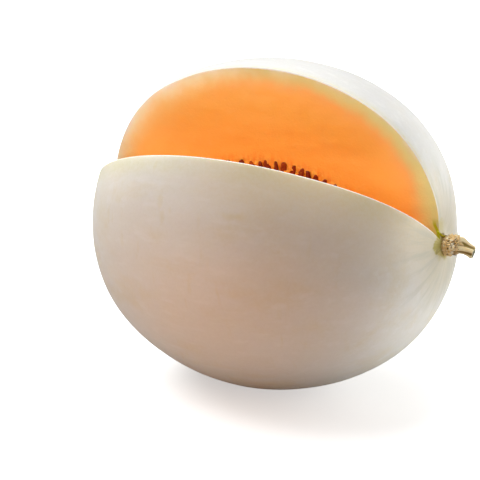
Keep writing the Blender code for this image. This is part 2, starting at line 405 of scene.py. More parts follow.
def end_shift(x, y, z):
    """How far a point of the rind moves along X to make the boss, its hollow and the dimple."""
    off_y, off_z = y - BOSS_Y, z - BOSS_Z
    away = np.hypot(off_y, off_z)
    full_way = outward(HOLLOW_FROM)
    side = (off_y * full_way[1] + off_z * full_way[2]) / (away + BOSS_RADIUS / 4)
    hollow = -HOLLOW_DEPTH * np.exp(-((away / HOLLOW_WIDTH) ** 2)) * smoothstep(*HOLLOW_SIDE, side)
    boss = np.exp(-((away / BOSS_RADIUS) ** BOSS_STEEPNESS)) * (BOSS_TOP - x - hollow)
    dimple = DIMPLE_DEPTH * np.exp(-((np.hypot(y, z) / DIMPLE_WIDTH) ** 2))
    low = smoothstep(*LOW_SHOULDER_IN, z) * (1 - 0.8 * smoothstep(*LOW_SHOULDER_OUT, z))
    full = LOW_SHOULDER * low * smoothstep(*LOW_SHOULDER_ALONG, x)
    full = full * (1 - np.exp(-((away / BOSS_RADIUS) ** 2)))
    return np.where(x > 0, hollow + boss + full, dimple)


def rind_point(turn, angle):
    """A point of the rind, relative to the middle of the axis."""
    turn, angle = np.broadcast_arrays(np.asarray(turn, float), np.asarray(angle, float))
    x, radius = profile(turn)
    way = outward(angle)
    place = radius[..., None] * way
    place[..., 0] = x
    lump = broad_lumps(place) + SMALL_LUMPS * small_lumps(place)
    radius = radius * (1 + RIND_LUMPS * lump * smoothstep(0.0, LUMPS_FADE, radius))
    place = radius[..., None] * way
    place[..., 0] = x + end_shift(x, place[..., 1], place[..., 2])
    height = place[..., 2] + AXIS_HEIGHT
    place[..., 2] = (height + np.sqrt(height**2 + SPOT_EASE**2)) / 2 - AXIS_HEIGHT
    return place


def cavity_point(turn, angle):
    turn, angle = np.broadcast_arrays(np.asarray(turn, float), np.asarray(angle, float))
    lobed = CAVITY_RADIUS + LOBE_HEIGHT * np.cos(LOBES * (angle - LOBE_AT))
    place = (lobed * np.sin(turn))[..., None] * outward(angle)
    place[..., 0] = CAVITY_HALF_LENGTH * np.cos(turn)
    return place


def past_wall(points):
    """About how far points near the axis are outside the cavity's wall, negative inside it."""
    x, y, z = np.moveaxis(points, -1, 0)
    lobed = CAVITY_RADIUS + LOBE_HEIGHT * np.cos(LOBES * (np.arctan2(-y, z) - LOBE_AT))
    return (np.hypot(x / CAVITY_HALF_LENGTH, np.hypot(y, z) / lobed) - 1) * CAVITY_RADIUS


def far_angle(point_at, turn):
    """The angle at which a surface meets the far cut, for each of its rings."""
    angle = np.full_like(turn, FAR_CUT)
    for _ in range(12):
        place = point_at(turn, angle)
        radius = np.maximum(np.hypot(place[:, 1], place[:, 2]), CUTS_MEET)
        angle = FAR_CUT + np.arcsin(np.clip(FAR_OFF_AXIS / radius, 0, 1))
    return angle


def turn_of_radius(point_at, radius, low, high):
    """The turn between low and high at which a surface's radius on the near cut is this."""
    for _ in range(60):
        middle = (low + high) / 2
        place = point_at(np.array([middle]), np.array([NEAR_CUT]))[0]
        if math.hypot(place[1], place[2]) > radius:
            high = middle
        else:
            low = middle
    return (low + high) / 2


class MeshParts:
    """Gathers grids of points into one mesh, with a material number and values for each point."""

    def __init__(self):
        self.points, self.faces, self.slots, self.values = [], [], [], []
        self.count = 0

    def grid(self, points, slot, **values):
        rows, columns = points.shape[:2]
        at = np.arange(rows * columns).reshape(rows, columns) + self.count
        quads = np.stack([at[:-1, :-1], at[1:, :-1], at[1:, 1:], at[:-1, 1:]], -1).reshape(-1, 4)
        self.points.append(points.reshape(-1, 3))
        self.faces.append(quads)
        self.slots.append(np.full(len(quads), slot))
        whole = {key: np.broadcast_to(value, (rows, columns)).ravel() for key, value in values.items()}
        self.values.append(whole)
        self.count += rows * columns

    def mesh(self, name, offset, weld=2e-6, crease=None):
        mesh = bpy.data.meshes.new(name)
        points = np.concatenate(self.points) + np.array(offset)
        mesh.from_pydata(points.tolist(), [], np.concatenate(self.faces).tolist())
        mesh.polygons.foreach_set("material_index", np.concatenate(self.slots).astype(np.int32))
        for key in sorted({key for group in self.values for key in group}):
            layer = mesh.attributes.new(key, "FLOAT", "POINT")
            column = [
                group.get(key, np.zeros(len(block))) for group, block in zip(self.values, self.points)
            ]
            layer.data.foreach_set("value", np.concatenate(column).astype(np.float32))
        bm = bmesh.new()
        bm.from_mesh(mesh)
        bmesh.ops.remove_doubles(bm, verts=bm.verts, dist=weld)
        bmesh.ops.dissolve_degenerate(bm, edges=bm.edges, dist=weld)
        bm.normal_update()
        bmesh.ops.recalc_face_normals(bm, faces=bm.faces)
        bm.to_mesh(mesh)
        bm.free()
        mesh.shade_smooth()
        if crease is not None:
            mesh.set_sharp_from_angle(angle=crease)
        return mesh


def depth_below_rind(points):
    """The shortest way to the rind from points inside it, measured in the plane of the axis."""
    turn = np.linspace(0, math.pi, 500)
    edge = np.stack(profile(turn), -1)
    flat = points.reshape(-1, 3)
    inside = np.stack([flat[:, 0], np.hypot(flat[:, 1], flat[:, 2])], -1)
    nearest = np.full(len(inside), 1.0)
    for start in range(0, len(edge) - 1):
        a, b = edge[start], edge[start + 1]
        along = np.clip(((inside - a) @ (b - a)) / ((b - a) @ (b - a)), 0, 1)
        gap = np.linalg.norm(inside - a - along[:, None] * (b - a), axis=1)
        nearest = np.minimum(nearest, gap)
    return nearest.reshape(points.shape[:-1])


def gap_to(line, points):
    """How far each point is from a line through these points."""
    steps = np.linspace(0, len(line) - 1, 12 * len(line))
    dense = np.stack([np.interp(steps, np.arange(len(line)), line[:, k]) for k in range(3)], -1)
    tree = KDTree(len(dense))
    for index, spot in enumerate(dense):
        tree.insert(spot, index)
    tree.balance()
    flat = points.reshape(-1, 3)
    return np.array([tree.find(spot)[2] for spot in flat]).reshape(points.shape[:-1])


def melon_rows():
    """Turns of the rows that the notch opens and of the closed rows at both ends, and the X where
    the cavity's opening ends. Rows lie exactly where the meeting line leaves the rind and the cavity."""
    stem_meet = turn_of_radius(rind_point, CUTS_MEET, 0.0, 0.6)
    blossom_meet = math.pi - turn_of_radius(lambda t, a: rind_point(math.pi - t, a), CUTS_MEET, 0.0, 0.6)
    cavity_meet = turn_of_radius(cavity_point, CUTS_MEET, 0.0, 0.8)
    cavity_end = CAVITY_HALF_LENGTH * math.cos(cavity_meet)
    open_left, open_right = math.acos(cavity_end / HALF_LENGTH), math.acos(-cavity_end / HALF_LENGTH)
    eased = np.linspace(0, 1, END_ROWS + 1) ** END_EASE
    middle = np.linspace(0, 1, ROWS - 2 * END_ROWS + 1)
    rows = np.concatenate([
        stem_meet + (open_left - stem_meet) * eased[:-1],
        open_left + (open_right - open_left) * middle,
        blossom_meet - (blossom_meet - open_right) * eased[::-1][1:],
    ])
    caps = np.linspace(0, stem_meet, CAP_ROWS + 1), np.linspace(blossom_meet, math.pi, CAP_ROWS + 1)
    return rows, caps, cavity_end


def add_rind(parts, rows, caps, near_start, far_start, near_rim, far_rim):
    share = np.linspace(0, 1, RIND_COLUMNS + 1)
    angles = near_start[:, None] + (far_start + 2 * math.pi - near_start)[:, None] * share
    round_angles = NEAR_CUT + 2 * math.pi * share
    skins = [rind_point(rows[:, None], angles)]
    skins += [rind_point(cap[:, None], round_angles[None, :]) for cap in caps]
    for skin in skins:
        parts.grid(skin, 0, below_near_rim=gap_to(near_rim, skin), below_far_rim=gap_to(far_rim, skin))


def add_lip(parts, rind_edge, rim, face_edge):
    """The rounded lip between the rind and a cut face: a curve drawn towards the sharp rim."""
    bend = np.linspace(0, 1, LIP_COLUMNS)[None, :, None]
    corner = (
        (1 - bend) ** 2 * rind_edge[:, None]
        + 2 * bend * (1 - bend) * rim[:, None]
        + bend**2 * face_edge[:, None]
    )
    parts.grid(corner, 0, lip=np.minimum(1.0, 3.0 * bend[..., 0]))


def add_cut_face(parts, face_edge, inner, down, near):
    """The flesh of one cut, with the fine relief that the knife left."""
    share = np.linspace(0, 1, FACE_COLUMNS + 1) ** END_EASE
    face = face_edge[:, None] + (inner - face_edge)[:, None] * share[None, :, None]
    depth = depth_below_rind(face)
    across = np.linalg.norm(inner - face_edge, axis=1)[:, None]
    square = np.cross((1.0, 0.0, 0.0), down)
    relief = FACE_RELIEF * (face_waves(face) + 0.25 * drag_waves(face))
    relief *= smoothstep(0.0, 0.25, share)[None] * smoothstep(1.0, 0.85, share)[None]
    relief *= smoothstep(0.0, 0.02, across)
    face = face + relief[..., None] * square
    parts.grid(face, 1, depth=depth, wall=past_wall(face), near=near)


def add_cavity(parts, turns, far_angles):
    """The cavity's wall, with its closed ends past the meeting line."""
    share = np.linspace(0, 1, CAVITY_COLUMNS + 1)
    angles = NEAR_CUT + (far_angles + 2 * math.pi - NEAR_CUT)[:, None] * share
    parts.grid(cavity_point(turns[:, None], angles), 1, depth=CAVITY_DEPTH)
    round_angles = NEAR_CUT + 2 * math.pi * share
    for start, end in ((0.0, turns[0]), (turns[-1], math.pi)):
        cap = np.linspace(start, end, CAVITY_CAP_ROWS + 1)
        parts.grid(cavity_point(cap[:, None], round_angles[None, :]), 1, depth=CAVITY_DEPTH)


def melon_mesh():
    parts = MeshParts()
    rows, caps, cavity_end = melon_rows()
    along = HALF_LENGTH * np.cos(rows)
    far = far_angle(rind_point, rows)
    far_rim, near_rim = rind_point(rows, far), rind_point(rows, NEAR_CUT)
    radius = np.hypot(near_rim[:, 1], near_rim[:, 2])

    # The lip runs out where the cuts meet the rind
    fade = smoothstep(0.0, LIP_FADE, radius - CUTS_MEET)
    lip = LIP_WIDTH * fade
    near_start = NEAR_CUT + lip / radius
    far_start = far - lip / np.hypot(far_rim[:, 1], far_rim[:, 2])
    add_rind(parts, rows, caps, near_start, far_start, near_rim, far_rim)

    # Each face runs from its rim to the meeting line, or to the cavity where that is open
    inner_turn = np.arccos(np.clip(along / CAVITY_HALF_LENGTH, -1, 1))
    is_open = np.abs(along) < cavity_end + 1e-9
    cavity_far = far_angle(cavity_point, inner_turn)
    meeting = np.tile(outward(NEAR_CUT) * CUTS_MEET, (len(rows), 1))
    meeting[:, 0] = near_rim[:, 0] * (1 - fade) + along * fade
    sides = (
        (near_rim, np.full_like(far, NEAR_CUT), near_start, outward(NEAR_CUT)),
        (far_rim, cavity_far, far_start, outward(FAR_CUT)),
    )
    for rim, cavity_angle, rind_start, down in sides:
        inner = np.where(is_open[:, None], cavity_point(inner_turn, cavity_angle), meeting)
        inner[:, 0] = np.where(is_open, along, meeting[:, 0])
        face_edge = rim - lip[:, None] * down
        add_lip(parts, rind_point(rows, rind_start), rim, face_edge)
        add_cut_face(parts, face_edge, inner, down, near=float(rim is near_rim))
    add_cavity(parts, inner_turn[is_open], cavity_far[is_open])
    return parts.mesh("melon_rind_and_flesh", (0.0, 0.0, AXIS_HEIGHT), crease=FACE_CREASE)


def add_object(name, data):
    obj = bpy.data.objects.new(name, data)
    bpy.context.scene.collection.objects.link(obj)
    return obj


def object_from(bm, name):
    """Makes a smooth object of a bmesh, and frees the bmesh."""
    mesh = bpy.data.meshes.new(name)
    bm.to_mesh(mesh)
    bm.free()
    mesh.shade_smooth()
    return add_object(name, mesh)


# The pulp: a wet bed under the knife cuts, with strands, moulded into one skin

def bed_to_notch(heart, way):
    """How far it is each way from the bed's heart to the cuts, and a long way where no cut is met."""
    far_normal, near_normal = outward(FAR_CUT + math.pi / 2), outward(NEAR_CUT - math.pi / 2)
    far_level, near_level = FAR_OFF_AXIS - PULP_SINK, -PULP_SINK
    with np.errstate(divide="ignore"):
        to_far = (far_level - heart @ far_normal) / (way @ far_normal)
        to_near = (near_level - heart @ near_normal) / (way @ near_normal)
    in_notch = (way @ far_normal > 0) & (way @ near_normal > 0)
    return np.where(in_notch, np.maximum(to_far, to_near), NO_CUT)


def bed_sections():
    """Rings of the bed's outline round a point below the meeting line, one for each place along X."""
    heart = -BED_HEART * outward(MID_CUT)
    around = np.linspace(0, 2 * math.pi, WALL_STEPS + 1)[:-1]
    seen = np.linspace(0, 2 * math.pi, BED_SIDES + 1)[:-1]
    way = outward(seen)
    to_notch = bed_to_notch(heart, way)
    rings = []
    for turn in np.linspace(BED_END, math.pi - BED_END, BED_RINGS):
        wall = cavity_point(turn, around)
        wall[:, 1:] *= 1 + PULP_PAST_WALL / CAVITY_RADIUS
        off = wall - heart
        angle = np.arctan2(-off[:, 1], off[:, 2]) % (2 * math.pi)
        order = np.argsort(angle)
        reach = np.interp(seen, angle[order], np.hypot(off[order, 1], off[order, 2]), period=2 * math.pi)
        dip = PULP_DIP * smoothstep(0.0, PULP_DIP_OVER, np.maximum(reach - to_notch, 0.0))
        ring = heart + (np.minimum(reach, to_notch) - dip)[:, None] * way
        ring[:, 0] = wall[0, 0]
        rings.append(ring)
    return np.array(rings)


def closed_rings(bm, rings):
    """Skins a stack of rings, closed at both ends."""
    made = [[bm.verts.new(point) for point in ring] for ring in rings]
    for one, two in zip(made, made[1:]):
        for k in range(len(one)):
            following = (k + 1) % len(one)
            bm.faces.new((one[k], one[following], two[following], two[k]))
    bm.faces.new(made[0][::-1])
    bm.faces.new(made[-1])


def tube(bm, path, radii, sides):
    """A tapered tube through the points of a path, with closed ends."""
    path = np.asarray(path)
    along = np.gradient(path, axis=0)
    along /= np.linalg.norm(along, axis=1)[:, None]
    helper = np.array([0.3, 0.5, 0.8])
    across = np.cross(along, helper)
    across /= np.linalg.norm(across, axis=1)[:, None]
    over = np.cross(along, across)
    angle = np.linspace(0, 2 * math.pi, sides + 1)[:-1]
    ring = np.cos(angle)[None, :, None] * across[:, None] + np.sin(angle)[None, :, None] * over[:, None]
    closed_rings(bm, path[:, None] + ring * np.asarray(radii)[:, None, None])


CUT_FACES = (
    # angle of the cut, which way out of the pulp is round the axis, distance of the cut from the axis
    (FAR_CUT, 1.0, FAR_OFF_AXIS),
    (NEAR_CUT, -1.0, 0.0),
)


def on_cut(cut_face, x, up, lift):
    """A point by a knife cut: x along the axis, up from the axis, lifted out of the fruit."""
    cut, sign, off_axis = cut_face
    return (
        np.array([x, 0.0, 0.0])
        + up * outward(cut)
        + (off_axis + lift) * outward(cut + sign * math.pi / 2)
    )


def wall_path(cut, below_wall, pitch, start=0.0):
    """Evenly spaced places along an arc below the cavity wall: (x, up, the wall's outward way)."""
    turn = np.linspace(0.0, math.pi, 900)
    edge = cavity_point(turn, np.full_like(turn, cut))
    up = np.hypot(edge[:, 1], edge[:, 2])
    across = max(up.max() - below_wall, 0.001)
    long_way = CAVITY_HALF_LENGTH - below_wall
    line = np.stack([long_way * np.cos(turn), across * np.sin(turn)], -1)
    travelled = np.concatenate([[0], np.cumsum(np.linalg.norm(np.diff(line, axis=0), axis=1))])
    stops = np.arange(start + pitch / 2, travelled[-1], pitch)
    places = np.stack([np.interp(stops, travelled, line[:, k]) for k in (0, 1)], -1)
    normals = places / np.array([long_way, across]) ** 2
    return places, normals / np.linalg.norm(normals, axis=1)[:, None]


def strand_path(cut_face, place, normal, length, draw):
    """The points and radii of one fibre that runs inwards from a place by the cavity's wall."""
    reach = length * draw.uniform(0.6, 1.25)
    lean = draw.uniform(-0.5, 0.5)
    bow = draw.uniform(-0.0016, 0.0016)
    lift = draw.uniform(-0.0003, 0.0010)
    points, radii = [], []
    for step in range(STRAND_STEPS):
        s = step / (STRAND_STEPS - 1)
        x = place[0] - normal[0] * reach * s + lean * normal[1] * reach * s * 0.6
        up = place[1] - normal[1] * reach * s - lean * normal[0] * reach * s * 0.6
        wave = bow * math.sin(math.pi * s) + 0.0004 * math.sin(9 * s + place[0] * 900)
        rise = STRAND_LEVEL + lift * math.sin(math.pi * min(1.0, s * 1.3)) - 0.0012 * s
        points.append(on_cut(cut_face, x + wave * normal[1], up - wave * normal[0], rise))
        radii.append(STRAND_RADIUS * (1.25 - 0.95 * s) * draw.uniform(0.85, 1.15))
    return points, radii


def strands(bm):
    """Fibres that run from the cavity wall inwards over each open face."""
    draw = random.Random(5)
    for cut_face in CUT_FACES:
        for below, pitch, length in STRAND_ROWS:
            for place, normal in zip(*wall_path(cut_face[0], below, pitch)):
                if draw.random() < STRANDS_MISSING or place[1] < STRAND_LOWEST:
                    continue
                tube(bm, *strand_path(cut_face, place, normal, length, draw), STRAND_SIDES)


def mould(obj):
    """Turns the forms in an object, which overlap, into one soft skin."""
    remesh = obj.modifiers.new("moulded", "REMESH")
    remesh.mode = "VOXEL"
    remesh.voxel_size = PULP_VOXEL
    soften = obj.modifiers.new("soften", "SMOOTH")
    soften.iterations = 2
    soften.factor = 0.5
    apply_modifiers(obj)


def roughen_pulp(mesh):
    """Gives the pulp its lumps and grain, and tucks it under the flesh at the cavity's edge."""
    points, normals = np.empty(len(mesh.vertices) * 3), np.empty(len(mesh.vertices) * 3)
    mesh.vertices.foreach_get("co", points)
    mesh.vertices.foreach_get("normal", normals)
    points, normals = points.reshape(-1, 3), normals.reshape(-1, 3)
    axis = (0.0, 0.0, AXIS_HEIGHT)
    past = past_wall(points - axis)
    inside = smoothstep(0.0, -0.0035, past)
    push = PULP_RELIEF * (inside * (pulp_lumps(points) - 0.6) + (0.2 + 0.3 * inside) * pulp_grain(points))
    push += PULP_PROUD * (1 - inside) - PULP_TUCK * smoothstep(0.0003, 0.0014, past)
    points = points + push[:, None] * normals
    mesh.vertices.foreach_set("co", points.ravel())
    wall = mesh.attributes.new("wall", "FLOAT", "POINT")
    wall.data.foreach_set("value", past_wall(points - axis).astype(np.float32))
    mesh.update()
    mesh.shade_smooth()


def pulp_object():
    bm = bmesh.new()
    closed_rings(bm, bed_sections())
    strands(bm)
    bmesh.ops.translate(bm, verts=bm.verts, vec=(0.0, 0.0, AXIS_HEIGHT))
    obj = object_from(bm, "pulp")
    mould(obj)
    roughen_pulp(obj.data)
    return obj


def apply_modifiers(obj):
    graph = bpy.context.evaluated_depsgraph_get()
    made = bpy.data.meshes.new_from_object(obj.evaluated_get(graph))
    obj.modifiers.clear()
    obj.data = made


def seed_grid(length, width, thickness, draw):
    """A flat drop with a blunt end at +Z, a pointed end at -Z, and a thin rim round its edge."""
    rows, sides = SEED_ROWS_ROUND, SEED_SIDES
    skew = draw.uniform(-0.08, 0.08)
    rings = []
    for i in range(rows):
        s = (i + 0.35) / (rows - 0.3)
        z = length * (0.5 - (1 - math.cos(math.pi * s)) / 2)
        full = math.sin(math.pi * s) ** 0.62 * (1 - 0.34 * s)
        ring = []
        for k in range(sides):
            angle = 2 * math.pi * k / sides
            c, n = math.cos(angle), math.sin(angle)
            rim = 0.62 + 0.38 * abs(n) ** 0.8
            x = 0.5 * thickness * full**0.7 * n * rim * (1.15 - 0.15 * abs(c))
            y = 0.5 * width * full * 1.28 * c + skew * width * math.sin(math.pi * s)
            ring.append((x, y, z))
        rings.append(ring)
    return rings


def seed_at(cut_face, level, place, normal, draw):
    """The rings of one seed where it lies, and its tone. A missing seed has no rings."""
    cut, sign, _ = cut_face
    length = SEED_LENGTH * draw.uniform(0.88, 1.08)
    width = SEED_WIDTH * draw.uniform(0.85, 1.1)
    thickness = SEED_THICKNESS * draw.uniform(0.85, 1.2)
    turn = draw.uniform(-SEED_TURN, SEED_TURN)
    roll = draw.choice((1, -1)) * draw.uniform(*SEED_ROLL)
    tip = draw.uniform(-SEED_TIP, SEED_TIP)
    lift = draw.uniform(-0.0005, 0.0005)
    tone = draw.random()
    slide = draw.uniform(-0.0010, 0.0005)
    skip = draw.random() < SEEDS_MISSING
    rings = seed_grid(length, width, thickness, draw)
    if skip or place[1] < CUTS_MEET + 0.001:
        return [], tone
    out_way, up_way = Vector(outward(cut + sign * math.pi / 2)), Vector(outward(cut))
    long_way = (float(normal[0]) * Vector((1, 0, 0)) + float(normal[1]) * up_way).normalized()
    basis = Matrix((out_way, out_way.cross(long_way), long_way)).transposed().to_4x4()
    spot = Vector(on_cut(cut_face, place[0], place[1], level + lift))
    spot += slide * long_way + Vector((0.0, 0.0, AXIS_HEIGHT))
    place_at = (
        Matrix.Translation(spot) @ Matrix.Rotation(turn, 4, out_way) @ basis
        @ Matrix.Rotation(tip, 4, "Y") @ Matrix.Rotation(roll, 4, "Z")
    )
    return [[place_at @ Vector(point) for point in ring] for ring in rings], tone


def seeds_object():
    """The seeds on both open faces, in rows that follow the wall, part sunk in the bed."""
    draw = random.Random(17)
    bm = bmesh.new()
    shade = bm.verts.layers.float.new("seed_tone")
    for cut_face in CUT_FACES:
        for row, (below, level) in enumerate(zip(SEED_ROWS, SEED_LEVEL)):
            start = (row % 2) * SEED_PITCH / 2
            for place, normal in zip(*wall_path(cut_face[0], below, SEED_PITCH, start)):
                rings, tone = seed_at(cut_face, level, place, normal, draw)
                if rings:
                    count = len(bm.verts)
                    closed_rings(bm, rings)
                    bm.verts.ensure_lookup_table()
                    for vert in bm.verts[count:]:
                        vert[shade] = tone
    bm.normal_update()
    bmesh.ops.recalc_face_normals(bm, faces=bm.faces)
    return object_from(bm, "seeds")


def olive_strand_object():
    """The green strand that runs on from the end of the far cut to the foot of the stem."""
    bm = bmesh.new()
    tube(bm, [place for place, _ in OLIVE_PATH], [radius for _, radius in OLIVE_PATH], OLIVE_SIDES)
    bmesh.ops.recalc_face_normals(bm, faces=bm.faces)
    return object_from(bm, "olive_strand")


# The stem

def swell(share, middle, width):
    return np.exp(-(((share - middle) / width) ** 2))


def stem_radius(share, angle):
    """The stem's radius without its ribs: less on top of the foot and on the stub's underside."""
    table = np.array(STEM_SECTIONS)
    radius = np.interp(share, table[:, 0], table[:, 1])
    top, bottom = np.maximum(0, -np.cos(angle)) ** 2, np.maximum(0, np.cos(angle)) ** 2
    shoulder = 0.34 * swell(share, 0.60, 0.16) - 0.12 * swell(share, 0.28, 0.09)
    radius = radius * (1 + top * (shoulder - 0.30 * smoothstep(0.24, 0.0, share)))
    return radius * (1 - 0.24 * bottom * smoothstep(0.10, 0.55, share) * smoothstep(1.02, 0.78, share))


def stem_drop(share):
    """How far the stem's middle line is below its root."""
    return STEM_LENGTH * share * np.sin(STEM_DROOP * share) - STEM_RISE * smoothstep(0.05, 0.40, share)


def stem_object():
    share = np.linspace(0, 1, STEM_ROWS)[:, None]
    angle = np.linspace(0, 2 * math.pi, STEM_COLUMNS + 1)[None, :]
    ribs = np.interp(share, *np.array(STEM_SECTIONS)[:, ::2].T)
    twist = STEM_TWIST * share**1.5
    ridge = np.cos(STEM_RIBS * (angle + twist))
    ridge = np.sign(ridge) * np.abs(ridge) ** 0.7
    fine = np.cos(STEM_FINE_RIBS * (angle + twist) + 2.0 * np.sin(3 * angle))
    radius = stem_radius(share, angle) * (1 + ribs * ridge + 0.02 * fine * smoothstep(0.35, 0.6, share))

    bend = STEM_DROOP * share
    centre = np.concatenate([
        STEM_LENGTH * share * np.cos(bend), np.zeros_like(share), -stem_drop(share)
    ], 1)[:, None]
    across = np.concatenate([-np.sin(bend), np.zeros_like(bend), -np.cos(bend)], 1)[:, None]
    side = np.array([0.0, 1.0, 0.0])
    way = np.cos(angle)[..., None] * across + np.sin(angle)[..., None] * side
    place = centre + radius[..., None] * way

    # Corky, cracked foot: plates with deep gaps between them, which fade out along the stub
    cork = 1 - smoothstep(0.36, 0.56, share + 0.08 * cork_waves(place))
    plates = np.abs(cork_plates(place)) ** 0.6 - 0.45
    chips = np.abs(cork_chips(place)) ** 0.7 - 0.4
    push = cork * (0.00062 * plates + 0.00040 * chips)
    # The gaps between the plates are painted dark: painted shade in the cracks
    crack = cork * smoothstep(0.22, -0.20, plates + 0.5 * chips)
    # The grooves between the ribs are olive, darkened partly as painted shade
    groove = (1 - cork) * smoothstep(0.2, -0.8, ridge)
    place = place + push[..., None] * way
    place[0, :, 0] -= STEM_ROOT
    place[:, -1] = place[:, 0]
    crack[:, -1], groove[:, -1] = crack[:, 0], groove[:, 0]

    parts = MeshParts()
    parts.grid(place, 0, crack=crack, groove=groove, cork=cork, end=0.0)
    # The cut end is a shallow dish with a soft rim
    last, middle = place[-1], place[-1].mean(0)
    along = middle - place[-4].mean(0)
    along /= np.linalg.norm(along)
    steps = np.linspace(0, 1, 9)[:, None, None]
    dish = last[None] * (1 - steps) + middle * steps
    dish = dish + (0.00018 * np.sin(math.pi * np.clip(steps * 4, 0, 1)) - 0.00045 * steps) * along
    parts.grid(dish, 0, crack=0.0, groove=0.0, cork=0.0, end=smoothstep(0.0, 0.2, steps[..., 0]))
    # The foot's end against the boss is darkened a little: painted shade between the stem and the rind
    foot = place[0][None] * (1 - steps[:4] / steps[3]) + place[0].mean(0) * steps[:4] / steps[3]
    parts.grid(foot, 0, crack=0.3, groove=0.0, cork=1.0, end=0.0)
    return add_object("stem", parts.mesh("stem", STEM_PLACE))


def flake_shape(draw):
    return {
        "share": draw.uniform(0.02, 0.46),
        "angle": draw.uniform(0, 2 * math.pi),
        "length": draw.uniform(0.0014, 0.0038),
        "width": draw.uniform(0.0006, 0.0014),
        "curl": draw.uniform(0.1, 0.6),
        "lean": draw.gauss(0.0, 0.45),
        "tone": draw.random(),
    }


def add_flake(parts, share, angle, length, width, curl, lean, tone):
    """One curled flake of cork: a top, an underside and the edges between them."""
    u = np.linspace(-1, 1, 9)[:, None]
    v = np.linspace(-1, 1, 7)[None, :]
    outline = np.sqrt(np.clip(1 - 0.85 * u**2, 0.02, 1)) * (1 + 0.12 * np.sin(5 * u + 7 * tone))
    along = length / 2 * u + 0 * v
    sideways = width / 2 * v * outline
    radius = stem_radius(share, angle) + FLAKE_LIFT
    lift = FLAKE_LIFT + curl * length / 2 * (0.5 + 0.5 * u) ** 2 - 0.25 * width * (v * outline) ** 2
    ends, sides = np.sqrt(np.clip(1 - 0.8 * u**2, 0, 1)), np.sqrt(np.clip(1.02 - v**2, 0, 1))
    s = along * math.cos(lean) - sideways * math.sin(lean)
    t = along * math.sin(lean) + sideways * math.cos(lean)
    x, around = STEM_LENGTH * share + s, angle + t / radius
    layers = []
    for thick in (0.0, -FLAKE_THICKNESS):
        r = radius + lift + thick * ends * sides
        layers.append(np.stack([x, r * np.sin(around), -r * np.cos(around) - stem_drop(share)], -1))
    # The rim value carries painted shade: the flakes darken towards their edges
    for layer in layers:
        parts.grid(layer, 0, tone=tone, rim=np.maximum(np.abs(u), np.abs(v)))
    top, under = layers
    for end in (0, -1):
        parts.grid(np.stack([top[end], under[end]]), 0, tone=tone, rim=1.0)
    for end in (0, -1):
        parts.grid(np.stack([top[:, end], under[:, end]]), 0, tone=tone, rim=1.0)


def peel_path(draw, index):
    """A peel's shares of the stem's length, its turns round it, its thickness and its tone."""
    if index < len(PEEL_PATHS):
        shares, turns = np.array(PEEL_PATHS[index]).T
        return shares, np.radians(turns), draw.uniform(0.00040, 0.00048), draw.uniform(0.65, 0.95)
    start = draw.uniform(0.02, 0.42)
    heading = draw.uniform(0.0, 2 * math.pi)
    bow = draw.uniform(-2.2, 2.2)
    way = heading + bow * np.linspace(-0.5, 0.5, PEEL_BENDS)
    reach = draw.uniform(0.0016, 0.0042) / PEEL_BENDS
    shares = np.clip(start + np.cumsum(np.cos(way)) * reach / STEM_LENGTH, 0.0, 0.50)
    turns = draw.uniform(0, 2 * math.pi) + np.cumsum(np.sin(way)) * reach / FOOT_RADIUS
    return shares, turns, draw.uniform(0.00022, 0.00042), draw.uniform(0.1, 1.0)


def smoothed(values):
    """A peel's values at even steps, with the corners rounded off."""
    spread = np.interp(np.linspace(0, 1, PEEL_STEPS), np.linspace(0, 1, len(values)), values)
    return np.convolve(np.pad(spread, 2, mode="edge"), np.ones(5) / 5, "valid")


def add_peel(parts, shares, turns, thick, tone):
    """A thin strip of cork along a path on the stem, tapered at both ends."""
    steps = np.linspace(0, 1, PEEL_STEPS)
    shares, turns = smoothed(shares), smoothed(turns)
    radius = stem_radius(shares, turns) + 0.00015 + 0.00030 * np.sin(math.pi * steps)
    out = np.stack([np.zeros(PEEL_STEPS), np.sin(turns), -np.cos(turns)], -1)
    line = radius[:, None] * out
    line[:, 0], line[:, 2] = STEM_LENGTH * shares, line[:, 2] - stem_drop(shares)
    side = np.cross(np.gradient(line, axis=0), out)
    side /= np.linalg.norm(side, axis=1)[:, None] + 1e-12
    around = np.linspace(0, 2 * math.pi, 9)[None, :, None]
    girth = (thick * np.sin(math.pi * np.clip(steps, 0.02, 0.98)) ** 0.5)[:, None, None]
    ring = 0.75 * np.cos(around) * out[:, None] + np.sin(around) * side[:, None]
    skin = line[:, None] + girth * ring
    skin[:, -1] = skin[:, 0]
    # The rim value carries painted shade: the peel darkens on its underside, against the stem
    parts.grid(skin, 0, tone=tone, rim=0.5 - 0.5 * np.cos(around[..., 0]))


def flakes_object():
    """Loose curled flakes of cork on the foot of the stem, and thin peels that run over it."""
    draw = random.Random(23)
    parts = MeshParts()
    shapes = [flake_shape(draw) for _ in range(FLAKES)]
    # The first flake is the dark one, a painted shadow under a peel
    shapes[0] = SHADOW_FLAKE
    for shape in shapes:
        add_flake(parts, **shape)
    for index in range(PEELS + len(PEEL_PATHS)):
        add_peel(parts, *peel_path(draw, index))
    return add_object("stem_flakes", parts.mesh("stem_flakes", STEM_PLACE))


# Materials

